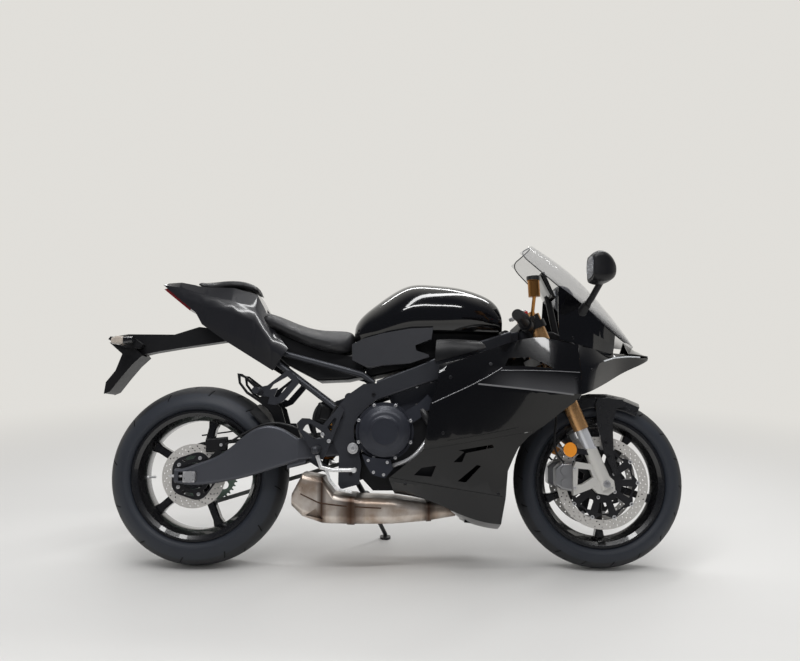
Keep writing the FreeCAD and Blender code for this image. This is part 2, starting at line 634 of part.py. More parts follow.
def rear_axle():
    """Axle bar, its adjuster blocks and the spacers against the hub."""
    x, z = REAR_AXLE.x, REAR_AXLE.z
    bar = disc_y(x, z, REAR_AXLE_R, -ARM_OUT - 18, ARM_OUT + 18)
    nuts = both(disc_y(x, z, 19, -ARM_OUT - 16, -ARM_OUT))
    block = prism([(x - 20, z - 13.5), (x + 18, z - 13.5), (x + 18, z + 13.5), (x - 20, z + 13.5)],
                  -ARM_OUT, -ARM_IN - FIT_GAP)
    spacer = disc_y(x, z, 22, -ARM_IN, -CHAIN_Y - 3 - FIT_GAP)
    return fused([bar, nuts.Solids[0], nuts.Solids[1], block, mirrored(block), spacer, mirrored(spacer)])


def rear_guards():
    """Hugger over the front of the rear tyre, its open rear loops, and the guard over the chain."""
    clear = REAR_TYRE_R + 12
    wires = []
    for deg in (20, 30, 40, 50):
        a = math.radians(deg)
        out = Vec(math.cos(a), 0, math.sin(a))
        ring = []
        for y, drop in ((-91, 34), (-80, 8), (-45, 0), (45, 0), (80, 8), (91, 34)):
            ring.append(REAR_AXLE + out * (clear - drop) + Vec(0, y, 0))
        for y, drop in ((87, 34), (77, 5), (43, -3), (-43, -3), (-77, 5), (-87, 34)):
            ring.append(REAR_AXLE + out * (clear - drop - 6) + Vec(0, y, 0))
        wires.append(Part.makePolygon(ring + ring[:1]))
    hugger = Part.makeLoft(wires, True, True)
    outer = prism([(-580, 676), (-562, 674), (-470, 606), (-440, 560), (-462, 545), (-500, 574),
                   (-546, 604), (-574, 640)], -66, -59)
    opening = prism([(-569, 666), (-562, 666), (-496, 606), (-481, 584), (-500, 585), (-541, 612),
                     (-567, 644)], -70, -50)
    loop = outer.cut(opening).cut(disc_y(REAR_AXLE.x, REAR_AXLE.z, clear - 2, -150, 150))
    arm = prism([(-474, 606), (-419, 553), (-400, 489), (-430, 470), (-451, 528), (-500, 590)], -66, -59)
    arm = arm.cut(disc_y(REAR_AXLE.x, REAR_AXLE.z, clear - 2, -150, 150))
    bar = rod((-571, -62, 670), (-571, 62, 670), 4.5)
    foot = prism([(-440, 500), (-408, 425), (-340, 425), (-366, 500)], -66, 66)
    foot = foot.cut(disc_y(REAR_AXLE.x, REAR_AXLE.z, clear - 4, -150, 150)).cut(swingarm())
    guard = prism([(-740, 452), (-640, 466), (-450, 503), (-450, 508), (-640, 471), (-740, 457)],
                  REAR_TYRE_W / 2 + 7, ARM_IN + 4)
    tab = prism([(-520, 440), (-490, 440), (-490, 496), (-520, 492)], ARM_IN, ARM_IN + 4)
    guard = fused([guard, tab.cut(swingarm())])
    hugger = fused([hugger, foot, loop, mirrored(loop), arm, mirrored(arm), bar])
    return Part.Compound([hugger, guard])


def rear_shock():
    """Spring and damper standing between the swingarm and the frame."""
    a, b = Vec(SHOCK_LOW[0], 0, SHOCK_LOW[1]), Vec(SHOCK_HIGH[0], 0, SHOCK_HIGH[1])
    along = b - a
    size = along.Length
    coils = 7
    points = [(0.0, 0.0), (12.0, 0.0), (12.0, 28.0), (30.0, 30.0)]
    start, end = 34.0, size - 46.0
    for k in range(2 * coils + 1):
        points.append((31.0 if k % 2 else 24.0, start + (end - start) * k / (2 * coils)))
    points += [(30.0, end + 4), (22.0, size - 28.0), (12.0, size - 20.0), (12.0, size), (0.0, size)]
    ring = [Vec(r, 0, h) for r, h in points]
    body = Part.Face(Part.makePolygon(ring + ring[:1])).revolve(Vec(0, 0, 0), Vec(0, 0, 1), 360)
    body.rotate(Vec(0, 0, 0), Vec(0, 1, 0), math.degrees(math.atan2(along.x, along.z)))
    body.translate(a)
    eyes = [disc_y(x, z, SHOCK_EYE_R, -SHOCK_EYE_HALF, SHOCK_EYE_HALF) for x, z in (SHOCK_LOW, SHOCK_HIGH)]
    return fused([body] + eyes)


def rear_caliper():
    """Single-piston caliper on its bracket over the rear disc."""
    body = body_loft([(-668.0, -ARM_IN + 0.5, -82.0, 398.0, 445.0),
                      (-600.0, -ARM_IN + 0.5, -82.0, 402.0, 452.0)], 8.0)
    near, far = REAR_DISC_Y - DISC_T / 2 - CALIPER_CLEAR, REAR_DISC_Y + DISC_T / 2 + CALIPER_CLEAR
    slot = disc_y(REAR_AXLE.x, REAR_AXLE.z, REAR_DISC_R + CALIPER_CLEAR, -far, -near)
    arm = prism([(-700, 335), (-690, 330), (-610, 400), (-625, 410)], -ARM_IN, -ARM_IN + 8)
    return fused([body, arm]).cut(slot).cut(disc_y(REAR_AXLE.x, REAR_AXLE.z, 24, -150, -60))


# Seat, tank and tail


@functools.cache
def fuel_tank():
    """Tank shell: narrow at the seat and the steering, wide between the knees."""
    stations = [(-163, 846, 812, 62, 792, 58), (-147, 877, 830, 92, 792, 84),
                (-98, 923, 852, 120, 796, 112), (-41, 965, 870, 148, 806, 138),
                (36, 1003, 890, 172, 822, 160), (112, 1004, 900, 176, 824, 165),
                (200, 995, 905, 165, 824, 152), (290, 972, 900, 128, 826, 112),
                (345, 938, 885, 100, 828, 90), (364, 902, 872, 84, 830, 78)]
    return arch_loft(stations)


def tank_side_covers():
    """Matte covers between the tank's lower edge and the frame."""
    side = [(-166, 720), (-168, 775), (-128, 794), (-57, 812), (33, 826), (114, 830), (108, 790),
            (52, 768), (56, 750), (98, 736), (100, 728), (34, 706), (-60, 700), (-108, 690)]
    shape = body_loft([(-172.0, -132.0, -100.0, 690.0, 806.0), (-60.0, -160.0, -128.0, 690.0, 824.0),
                       (40.0, -178.0, -146.0, 695.0, 838.0), (118.0, -180.0, -150.0, 700.0, 842.0)],
                      10.0, ruled=True)
    cover = shape.common(prism(side, -200, -90)).cut(fuel_tank()).cut(main_frame())
    return both(max(cover.Solids, key=lambda solid: solid.Volume))


@functools.cache
def seat():
    """Rider's seat: narrow and low at the tank, kicked up at its back."""
    stations = [(-530, 902, 884, 78, 862, 70), (-452, 886, 858, 112, 832, 104),
                (-360, 850, 820, 130, 792, 122), (-280, 831, 800, 132, 764, 124),
                (-200, 829, 790, 118, 748, 110), (-168, 824, 780, 88, 748, 84)]
    return arch_loft(stations)


@functools.cache
def pillion_seat():
    """Small raised pad on the tail."""
    stations = [(-745, 1010, 1000, 52, 992, 48), (-650, 1012, 1000, 70, 990, 64),
                (-560, 1007, 992, 84, 986, 78), (-515, 985, 972, 86, 965, 82)]
    return arch_loft(stations)


def tail_stations(inset):
    """Sections of the tail from its tip to the seat, as (x, outline points)."""
    stations = []
    for x, half, z_top, z_side, z_low in ((-872, 40, 1008, 1000, 900), (-800, 62, 1010, 985, 860),
                                          (-700, 84, 990, 955, 800), (-600, 102, 986, 930, 740),
                                          (-515, 116, 960, 900, 700), (-450, 124, 842, 800, 660),
                                          (-390, 128, 800, 770, 640)):
        wide = half - inset
        right = [(-wide * 0.86, z_low), (-wide, z_side - 40), (-wide * 0.9, z_side),
                 (-wide * 0.66, z_top - 4 - inset), (0, z_top - inset)]
        stations.append((x, right + [(-y, z) for y, z in reversed(right[:-1])]))
    return stations


def tail_space():
    """Space the tail fills, a little inside its outer face."""
    wires = []
    for x, points in tail_stations(PANEL_T / 3):
        ring = [Vec(x, y, z) for y, z in points]
        wires.append(Part.makePolygon(ring + ring[:1]))
    return Part.makeLoft(wires, True, True)


@functools.cache
def tail_cowl():
    """Thin moulded tail: side panels that meet over the subframe."""
    shell = panel(tail_stations(0.0), PANEL_T)
    side = prism([(-868, 1000), (-840, 1012), (-749, 1014), (-540, 1010), (-512, 960), (-452, 835),
                  (-393, 760), (-440, 690), (-447, 683), (-623, 790), (-711, 850), (-736, 893)],
                 -200, 200)
    shell = shell.common(side).cut(pillion_seat()).cut(seat())
    return max(shell.Solids, key=lambda solid: solid.Volume)


@functools.cache
def subframe():
    """Rear subframe: two rails each side, joined by cross tubes and coped onto the frame."""
    upper = bent_bar([(-90, -122, 640), (-130, -120, 670), (-400, -94, 742), (-640, -60, 880),
                      (-725, -50, 919)], 11.0)
    lower = bent_bar([(-205, -122, 540), (-420, -94, 700), (-560, -72, 834)], 10.0)
    side = fused([upper, lower])
    cross = [rod((x, -y, z), (x, y, z), 8.0) for x, y, z in ((-560, 70, 834), (-640, 60, 880))]
    frame = fused([side, mirrored(side)] + cross).cut(main_frame())
    return max(frame.Solids, key=lambda solid: solid.Volume)


@functools.cache
def undertray():
    """Closed tray under the seat, between the rails, that holds the battery and electrics."""
    tray = body_loft([(-480.0, -72.0, 72.0, 775.0, 842.0), (-400.0, -80.0, 80.0, 706.0, 808.0),
                      (-290.0, -80.0, 80.0, 650.0, 766.0), (-185.0, -80.0, 80.0, 655.0, 747.0),
                      (-130.0, -80.0, 80.0, 668.0, 742.0)], 10.0, ruled=True)
    return tray.cut(seat()).cut(subframe())


def airbox():
    """Airbox filling the space between the frame spars, the cylinder head and the tank."""
    return body_loft([(-120.0, -88.0, 88.0, 660.0, 793.0), (60.0, -100.0, 100.0, 700.0, 826.0),
                      (230.0, -90.0, 90.0, 715.0, 828.0), (384.0, -38.0, 38.0, 790.0, 828.0)],
                     10.0, ruled=True).cut(main_frame()).cut(fuel_tank()).cut(undertray())


def plate_bracket():
    """Arm from the tail, and the scooped flap below it that holds the number plate."""
    arm = prism([(-606, 800), (-600, 876), (-660, 880), (-680, 842), (-734, 848), (-823, 819),
                 (-990, 819), (-1040, 812), (-1053, 800), (-1046, 785), (-990, 768), (-930, 745),
                 (-893, 754), (-790, 772), (-640, 795)], -24, 24)
    outline = [(-1048, 785), (-1000, 744), (-1021, 684), (-1053, 642), (-1058, 600), (-1036, 609),
               (-998, 661), (-963, 705), (-929, 738), (-960, 775)]
    hollow = [(-1060, 792), (-1008, 744), (-1029, 684), (-1061, 642), (-1066, 600), (-1056, 600),
              (-1044, 612), (-1004, 666), (-970, 710), (-938, 741), (-966, 790)]
    flap = prism(outline, -FLAP_HALF, FLAP_HALF)
    flap = flap.cut(prism(hollow, -FLAP_HALF + PANEL_T, FLAP_HALF - PANEL_T))
    pods = [prism([(-1042, 806), (-1050, 796), (-1000, 768), (-940, 762), (-925, 778), (-950, 796)],
                  -62, -20)]
    return fused([arm, flap] + pods + [mirrored(pod) for pod in pods]).cut(subframe())


FLAP_HALF = 52.0


def rear_lamps():
    """Tail lamp strips and the two rear indicators with their stalks."""
    stalk = fused([rod((-960, -62.3, 785), (-960, -104, 785), 7),
                   body_loft([(-1007.0, -146.0, -98.0, 772.0, 792.0), (-985.0, -150.0, -96.0, 768.0, 799.0),
                              (-936.0, -140.0, -98.0, 776.0, 798.0)], 9.0, ruled=True)])
    lamp = prism([(-864, 984), (-852, 974), (-760, 902), (-750, 912), (-840, 990)], -80, 80)
    lamp = lamp.common(tail_space()).cut(tail_cowl())
    return Part.Compound([stalk, mirrored(stalk), max(lamp.Solids, key=lambda solid: solid.Volume)])


# Rider's feet


def footrests():
    """Heel plates with their leaf-shaped openings and pegs, and the pillion hangers above them."""
    plate = prism([(-350, 500), (-333, 517), (-308, 516), (-262, 494), (-232, 528), (-205, 560),
                   (-190, 545), (-225, 454), (-258, 378), (-296, 378), (-300, 412), (-338, 468)], -160, -152)
    plate = plate.cut(prism([(-330, 478), (-320, 494), (-303, 498), (-268, 474), (-256, 448),
                             (-290, 446)], -170, -140))
    plate = plate.cut(prism([(-246, 486), (-222, 520), (-214, 514), (-234, 470)], -170, -140))
    spacers = [rod((-208, -152, 545), (-208, -FRAME_PLATE_OUT, 545), 9),
               rod((-234, -152, 462), (-234, -FRAME_PLATE_OUT, 462), 9)]
    peg = fused([rod((-276, -152, 412), (-276, -262, 412), 13), ball((-276, -262, 412), 13)])
    rider = fused([plate, peg] + spacers)
    hanger = prism([(-392, 684), (-362, 664), (-350, 640), (-405, 574), (-432, 562), (-458, 566),
                    (-452, 590), (-492, 594), (-504, 606), (-496, 622), (-460, 630)], -128, -118)
    hanger = hanger.cut(prism([(-392, 662), (-374, 646), (-424, 588), (-436, 592), (-424, 622),
                               (-452, 616), (-440, 634)], -140, -110))
    pillion_peg = rod((-485, -122, 608), (-485, -215, 608), 12)
    bosses = [rod((-385, -119, 674), (-385, -97, 674), 8), rod((-366, -119, 646), (-366, -96, 646), 8)]
    pillion = fused([hanger, pillion_peg] + bosses).cut(subframe())
    pillion = max(pillion.Solids, key=lambda solid: solid.Volume)
    return Part.Compound([rider, mirrored(rider), pillion, mirrored(pillion)])


def foot_controls():
    """Rear brake pedal on the right, with its hooked link, and the gear lever on the left."""
    arm = bent_bar([(-276, -160, 388), (-276, -176, 388), (-262, -180, 352), (-223, -186, 344),
                    (-150, -190, 345)], 6.5)
    hook = bent_bar([(-246, -182, 348), (-233, -182, 311), (-209, -182, 281), (-158, -182, 272)], 5.0)
    toe = rod((-150, -180, 345), (-150, -222, 345), 8)
    pedal = fused([arm, toe, hook])
    lever = fused([arm, toe])
    return Part.Compound([pedal, mirrored(lever)])


# Fairing


FAIRING_STATIONS = [
    (-60, [(-84, 250), (-146, 266), (-180, 325), (-199, 405), (-206, 560), (-207, 655), (-196, 735)]),
    (100, [(-84, 228), (-148, 246), (-186, 300), (-211, 430), (-224, 612), (-222, 664), (-207, 745)]),
    (260, [(-83, 160), (-148, 182), (-189, 275), (-216, 458), (-234, 632), (-230, 676), (-207, 775)]),
    (420, [(-82, 150), (-146, 176), (-188, 272), (-215, 494), (-233, 618), (-228, 687), (-192, 800)]),
    (520, [(-82, 190), (-142, 226), (-178, 330), (-206, 524), (-222, 608), (-215, 683), (-178, 792)]),
    (617, [(-80, 300), (-128, 350), (-158, 430), (-176, 556), (-190, 603), (-190, 678), (-158, 775)])]
NOSE_STATIONS = [
    (617, [(-134, 612), (-188, 604), (-190, 678), (-158, 775)]),
    (660, [(-114, 635), (-160, 619), (-166, 697), (-134, 769)]),
    (700, [(-82, 653), (-122, 637), (-138, 716), (-112, 763)]),
    (740, [(-44, 672), (-88, 657), (-108, 734), (-88, 755)]),
    (775, [(-28, 690), (-62, 676), (-84, 747), (-74, 752)]),
    (830, [(-14, 714), (-38, 703), (-53, 748), (-46, 751)]),
    (905, [(-3, 741), (-8, 739), (-14, 745), (-11, 747)])]


@functools.cache
def fairing_skin():
    """Right-hand outer skin of the fairing behind the nose, cut later into its panels."""
    return panel(FAIRING_STATIONS, PANEL_T, ruled=False)


def skin_panel(outline_points):
    """Piece of the fairing skin inside a side-view outline."""
    cut = fairing_skin().common(prism(outline_points, -300, 0))
    return max(cut.Solids, key=lambda solid: solid.Volume)


UPPER_COWL = [(500, [(-170, 796), (-168, 832), (-166, 872)]),
              (560, [(-164, 792), (-156, 880), (-139.5, 990)]),
              (640, [(-148, 773), (-150, 840), (-143.5, 920)]),
              (700, [(-113, 762), (-128, 806), (-136, 868)]),
              (760, [(-80, 752), (-98, 780), (-118, 822)])]
UPPER_COWL_SIDE = [(550, 700), (550, 880), (556, 990), (600, 955), (650, 914), (700, 870), (742, 834),
                   (758, 820), (758, 700)]


@functools.cache
def nose_cowl():
    """Thin front cowl: the beak, the shelves beside the screen and the sides that rise to it."""
    beak = panel(NOSE_STATIONS, PANEL_T, ruled=False)
    upper = panel(UPPER_COWL, PANEL_T, ruled=True).common(prism(UPPER_COWL_SIDE, -300, 0))
    side = max(fused([beak, upper]).Solids, key=lambda solid: solid.Volume)
    tip = panel([(905, [(-13, 749), (0, 750), (13, 749)]), (862, [(-36, 753), (0, 770), (36, 753)]),
                 (820, [(-62, 755), (0, 800), (62, 755)])], PANEL_T)
    return fused([side, mirrored(side), tip])


INTAKE = [(352, 694), (366, 722), (432, 726), (482, 708), (517, 689), (430, 694)]


def side_fairings():
    """Large side panels with the shelf above the duct that opens over their top edge."""
    main = [(102, 564), (230, 622), (298, 659), (346, 692), (517, 687), (NOSE_SEAM_X - SEAM, 679),
            (NOSE_SEAM_X - SEAM, 601), (590, 576), (538, 538), (486, 498), (458, 480), (80, 414)]
    shelf = [(102, 564), (129, 640), (160, 698), (232, 725), (357, 771), (407, 786), (451, 795),
             (516, 800), (NOSE_SEAM_X - SEAM, 800), (NOSE_SEAM_X - SEAM, 679), (517, 687), (346, 692),
             (298, 659), (230, 622)]
    whole = fused([skin_panel(main), skin_panel(shelf)]).cut(prism(INTAKE, -300, 0))
    return both(max(whole.Solids, key=lambda solid: solid.Volume))


VENTS = ([(181, 374), (216, 408), (196, 413), (310, 433), (315, 423), (222, 404), (209, 374)],
         [(195, 311), (259, 365), (273, 362), (222, 307)],
         [(49, 330), (74, 354), (123, 362), (108, 325)])


def lower_cowls():
    """Lower side panels that close under the engine as a belly pan, with their vents."""
    side = skin_panel([(458, 480 - SEAM), (432, 461), (398, 424), (380, 388), (362, 346),
                       (355, 252), (341, 140), (225, 140), (206, 183), (166, 217), (91, 247),
                       (-15, 262), (-35, 319), (80, 414 - SEAM)])
    for vent in VENTS:
        side = side.cut(prism(vent, -300, -100))
    side = max(side.Solids, key=lambda solid: solid.Volume)
    floor = panel([(340, [(-92, 154), (92, 154)]), (225, [(-92, 165), (92, 165)])], PANEL_T)
    return fused([side, mirrored(side), floor])


def windscreen():
    """Bubble screen, one blown sheet."""
    stations = [((849, 779.6), (797, 90, 794.6)), ((808, 842), (742, 126, 826)),
                ((722, 954), (650, 140, 905)), ((640, 1042), (560, 136, 985)),
                ((560, 1108), (490, 124, 1050)), ((488, 1158), (428, 104, 1112))]
    grid = []
    for (cx, cz), (sx, sy, sz) in stations:
        arc = Part.Arc(Vec(sx, -sy, sz), Vec(cx, 0, cz), Vec(sx, sy, sz))
        first, last = arc.FirstParameter, arc.LastParameter
        grid.append([arc.value(first + (last - first) * k / 8) for k in range(9)])
    surface = Part.BSplineSurface()
    surface.interpolate(grid)
    sheet = surface.toShape().makeOffsetShape(-SCREEN_T, 1e-3, fill=True).cut(nose_cowl())
    return max(sheet.Solids, key=lambda solid: solid.Volume)


def mirrors():
    """Mirror heads on thick arms from the sides of the upper cowl."""
    arm = bent_bar([(638, -142, 896), (660, -188, 934), (678, -258, 984), (674, -306, 1014)], 11.0)
    foot = rod((632, -130, 884), (650, -168, 918), 20.0, 14.0)
    head = body_loft([(630.0, -MIRROR_HALF + 8, -254.0, 972.0, 1058.0),
                      (654.0, -MIRROR_HALF, -246.0, 966.0, 1068.0),
                      (690.0, -MIRROR_HALF + 12, -256.0, 972.0, 1056.0),
                      (710.0, -MIRROR_HALF + 30, -276.0, 990.0, 1030.0)], 22.0)
    outside = prism([(560, 800), (760, 800), (760, 1120), (560, 1120)], -400, -145)
    mirror = fused([arm, foot, head]).common(outside).cut(nose_cowl())
    return both(max(mirror.Solids, key=lambda solid: solid.Volume))


@functools.cache
def display():
    """Instrument display in front of the steering head."""
    return prism([(548, 960), (560, 955), (520, 1050), (508, 1046)], -80, 80)


def fairing_stay():
    """Stay from the steering head that carries the display, the lamp and the nose."""
    beam = body_loft([(440.0, -20.0, 20.0, 800.0, 838.0), (560.0, -24.0, 24.0, 800.0, 840.0),
                      (676.0, -40.0, 40.0, 700.0, 770.0)], 8.0, ruled=True)
    post = rod((575, 0, 820), (545, 0, 975), 12)
    spread = rod((636, -170, 762), (636, 170, 762), 9)
    stay = fused([beam, post, spread]).cut(main_frame()).cut(display()).cut(headlamp()).cut(nose_cowl())
    stay = stay.cut(rod(tuple(steer_point(700.0)), tuple(steer_point(960.0)), HEAD_R))
    return max(stay.Solids, key=lambda solid: solid.Volume)


@functools.cache
def headlamp():
    """Central lamp and intake block inside the nose."""
    return body_loft([(664.0, -76.0, 76.0, 658.0, 750.0), (720.0, -58.0, 58.0, 674.0, 744.0),
                      (770.0, -34.0, 34.0, 700.0, 738.0)], 12.0, ruled=True)


# Front fork and steering


def fork_tubes():
    """Gold outer tubes, open below for the inner tubes."""
    tubes = []
    for y in (-FORK_SPREAD, FORK_SPREAD):
        low = along_fork(FORK_OUTER_LOW_Z, 0, y)
        high = along_fork(FORK_TOP_Z, 0, y)
        tube = rod(tuple(low), tuple(high), FORK_OUTER_R)
        bore = rod(tuple(low), tuple(along_fork(FORK_TOP_Z - 30, 0, y)), FORK_INNER_R + AXLE_FIT)
        cap = rod(tuple(high), tuple(along_fork(FORK_TOP_Z + 12, 0, y)), 15.0)
        tubes.append(tube.cut(bore).fuse(cap).removeSplitter())
    return Part.Compound(tubes)


CALIPER_X = 598.0


@functools.cache
def fork_lowers():
    """Inner tubes with the cast axle feet and the open brackets that carry the calipers."""
    legs = []
    for sign in (-1, 1):
        y = sign * FORK_SPREAD
        tube = rod(tuple(along_fork(345, 0, y)), tuple(along_fork(820, 0, y)), FORK_INNER_R)
        foot = rod(tuple(along_fork(285, 0, y)), tuple(along_fork(420, 0, y)), 25.0, 24.0)
        bracket = prism([(CALIPER_X, 352), (CALIPER_X + 12, 375), (657, 368), (700, 372), (716, 332),
                         (738, 312), (742, 279), (716, 262), (682, 268), (664, 286), (CALIPER_X, 260)],
                        y - 14, y + 14)
        opening = prism([(616, 352), (658, 348), (668, 322), (630, 298), (612, 296)], y - 40, y + 40)
        leg = fused([tube, foot, bracket]).cut(opening)
        legs.append(leg.cut(disc_y(FRONT_AXLE.x, FRONT_AXLE.z, FRONT_AXLE_R + AXLE_FIT, y - 60, y + 60)))
    return Part.Compound(legs)


def triple_clamps():
    """Upper and lower clamps with the hollow stem between them."""
    pieces = []
    for z, thick in ((CLAMP_LOW_Z, CLAMP_LOW_T), (CLAMP_TOP_Z, CLAMP_TOP_T)):
        middle = steer_point(z)
        bar = Part.makeBox(62, 2 * FORK_SPREAD + 70, thick, Vec(-18, -FORK_SPREAD - 35, -thick / 2))
        bar.rotate(Vec(0, 0, 0), Vec(0, 1, 0), -RAKE_DEG)
        bar.translate(middle)
        pieces.append(bar)
    stem = rod(tuple(steer_point(730)), tuple(steer_point(880)), STEM_R)
    body = fused(pieces + [stem])
    for y in (-FORK_SPREAD, FORK_SPREAD):
        body = body.cut(rod(tuple(along_fork(600, 0, y)), tuple(along_fork(960, 0, y)), FORK_OUTER_R))
    return body.cut(rod(tuple(steer_point(700)), tuple(steer_point(960)), STEM_BORE_R))


@functools.cache
def handlebars():
    """Clip-on bars under the top clamp, with grips and switches."""
    sides = []
    for sign in (-1, 1):
        y = sign * FORK_SPREAD
        low, high = along_fork(838, 0, y), along_fork(861.4, 0, y)
        collar = rod(tuple(low), tuple(high), FORK_OUTER_R + 8)
        collar = collar.cut(rod(tuple(along_fork(800, 0, y)), tuple(along_fork(900, 0, y)), FORK_OUTER_R))
        root = along_fork(848, -FORK_OUTER_R - 10, y)
        inner = (root.x + 8, sign * 128, root.z)
        outer = (380, sign * (BAR_HALF - 4), 853)
        bar = rod(inner, outer, 11)
        run = Vec(*outer) - Vec(*inner)
        grip = Part.makeCylinder(17, run.Length * 0.58, Vec(*inner) + run * 0.42, run)
        switch = Part.makeCylinder(23, run.Length * 0.15, Vec(*inner) + run * 0.24, run)
        lever = bent_bar([(inner[0] + 2, sign * 188, 866), (450, sign * 215, 862),
                          (432, sign * 318, 846)], 6.0)
        bridge = rod(tuple(Vec(*inner) + run * 0.32), (450, sign * 205, 863), 8)
        sides.append(fused([collar, bar, grip, switch, lever, bridge]))
    return Part.Compound(sides)


def brake_reservoir():
    """Brake fluid cup on the right clip-on."""
    cup = rod((455, -232, 930), (452, -235, 985), 20)
    cap = rod((452, -235, 985), (451, -235.5, 1000), 23)
    stay = rod((450, -206, 862), (455, -230, 932), 6)
    return fused([cup, cap, stay]).cut(handlebars())


def front_fender():
    """Thin fender over the front tyre with blades down ahead of the fork legs."""
    clear = FRONT_TYRE_R + 10
    wires = []
    for deg in (62, 72, 84, 96, 108, 118):
        a = math.radians(deg)
        out = Vec(math.cos(a), 0, math.sin(a))
        ring = []
        for y, drop in ((-76, 48), (-72, 16), (-42, 0), (42, 0), (72, 16), (76, 48)):
            ring.append(FRONT_AXLE + out * (clear - drop + 3) + Vec(0, y, 0))
        for y, drop in ((73, 48), (69, 16), (40, 0), (-40, 0), (-69, 16), (-73, 48)):
            ring.append(FRONT_AXLE + out * (clear - drop) + Vec(0, y, 0))
        wires.append(Part.makePolygon(ring + ring[:1]))
    arch = Part.makeLoft(wires, True, True)
    blade = prism([(690, 575), (694, 500), (715, 406), (750, 323), (762, 338), (748, 406), (748, 509),
                   (764, 560), (800, 566), (786, 590), (700, 596)], -BLADE_OUT, -BLADE_OUT + PANEL_T)
    shelf = prism([(690, 575), (693, 556), (765, 566), (800, 566), (786, 590), (700, 596)], -BLADE_OUT, -72)
    seat_x = along_fork(FENDER_BOSS_Z)
    boss = disc_y(seat_x.x, seat_x.z, 8, -FORK_SPREAD + FORK_OUTER_R + FIT_GAP, -68)
    side = fused([blade, shelf, boss])
    return fused([arch, side, mirrored(side)])


BLADE_OUT = 90.0


FENDER_BOSS_Z = 560.0


def front_calipers():
    """Four-piston radial calipers behind the fork feet, slotted for the discs."""
    y_mid = -FRONT_DISC_Y
    body = body_loft([(CALIPER_X - 54, y_mid - 30, y_mid + 22, 292.0, 352.0),
                      (CALIPER_X - 36, y_mid - 36, y_mid + 26, 280.0, 368.0),
                      (CALIPER_X, y_mid - 36, y_mid + 26, 272.0, 372.0)], 9.0, ruled=True)
    slot = disc_y(FRONT_AXLE.x, FRONT_AXLE.z, FRONT_DISC_R + CALIPER_CLEAR, y_mid - DISC_T / 2 - CALIPER_CLEAR,
                  y_mid + DISC_T / 2 + CALIPER_CLEAR)
    pistons = [disc_y(CALIPER_X - 26, z, 15.0, y_mid - 42, y_mid - 30) for z in (302.0, 344.0)]
    return both(fused([body.cut(slot)] + pistons))


def front_axle():
    """Hollow axle with its spacers and end."""
    x, z = FRONT_AXLE.x, FRONT_AXLE.z
    bar = disc_y(x, z, FRONT_AXLE_R, -FORK_SPREAD - 30, FORK_SPREAD + 30)
    spacer = disc_y(x, z, 18, -FORK_SPREAD + 27, -FRONT_DISC_Y - DISC_T / 2 - FIT_GAP)
    axle = fused([bar, spacer, mirrored(spacer)])
    return axle.cut(disc_y(x, z, 9.0, -200, 200))


def fork_reflectors():
    """Round side reflectors on short stays from the fork feet."""
    x, z = 590.0, 416.0
    plate = disc_y(x, z, 25, -FORK_SPREAD - 24, -FORK_SPREAD - 16)
    stay = prism([(x - 8, z + 10), (x - 8, z - 10), (660, 396), (660, 414)],
                 -FORK_SPREAD - 18, -FORK_SPREAD - 14)
    reflector = fused([plate, stay]).cut(fork_lowers())
    return both(max(reflector.Solids, key=lambda solid: solid.Volume))


# Whole bike


def build():
    """Every piece by name, in the upright bike frame."""
    nodes = {}
    nodes.update(front_wheel())
    nodes.update(rear_wheel())
    makers = [main_frame, subframe, engine_block, engine_covers, exhaust_header, muffler, radiator,
              fuel_tank, airbox, tank_side_covers, seat, pillion_seat, tail_cowl, undertray, plate_bracket,
              rear_lamps, swingarm, rear_axle, rear_guards, rear_shock, drive_chain, rear_caliper,
              footrests, foot_controls, nose_cowl, side_fairings, lower_cowls, windscreen, mirrors,
              display, headlamp, fairing_stay, fork_tubes, fork_lowers, triple_clamps, handlebars, brake_reservoir,
              front_fender, front_calipers, front_axle, fork_reflectors, side_stand]
    for maker in makers:
        nodes[maker.__name__] = maker()
    return nodes


def leaned(shape):
    """The piece turned from the upright bike frame onto the side stand."""
    turned = shape.copy()
    turned.rotate(Vec(0, 0, 0), Vec(1, 0, 0), -LEAN_DEG)
    return turned


def row_frame(nodes):
    """All pieces leaned, with the origin under the middle of the box."""
    placed = {name: leaned(shape) for name, shape in nodes.items()}
    box = FreeCAD.BoundBox()
    for shape in placed.values():
        box.add(shape.optimalBoundingBox(False))
    shift = Vec(-box.Center.x, -box.Center.y, -box.ZMin)
    for shape in placed.values():
        shape.translate(shift)
    return placed, shift


def write_parts():
    """One STEP file per piece."""
    os.makedirs("parts", exist_ok=True)
    placed, shift = row_frame(build())
    for name, shape in placed.items():
        shape.exportStep("parts/" + name + ".step")
    return placed, shift


PLACED, SHIFT = write_parts()
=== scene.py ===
"""Sport motorcycle leaning on its side stand: the finish and the fine pieces over its construction model."""
import math

import bmesh
import bpy
from mathutils import Matrix, Vector


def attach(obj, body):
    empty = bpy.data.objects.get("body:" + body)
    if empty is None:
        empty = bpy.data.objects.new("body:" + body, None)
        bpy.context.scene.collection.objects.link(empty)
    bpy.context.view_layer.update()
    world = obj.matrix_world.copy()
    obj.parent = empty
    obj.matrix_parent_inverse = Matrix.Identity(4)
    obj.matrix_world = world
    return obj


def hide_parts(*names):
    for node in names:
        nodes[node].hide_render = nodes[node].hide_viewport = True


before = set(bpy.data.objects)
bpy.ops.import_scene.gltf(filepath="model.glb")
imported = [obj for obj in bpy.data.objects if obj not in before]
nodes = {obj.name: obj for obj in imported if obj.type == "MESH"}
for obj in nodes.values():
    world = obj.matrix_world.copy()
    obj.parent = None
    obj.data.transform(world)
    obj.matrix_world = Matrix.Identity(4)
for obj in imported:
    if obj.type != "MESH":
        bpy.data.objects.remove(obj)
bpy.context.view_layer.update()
scene = bpy.context.scene
scene.view_settings.view_transform = "Standard"

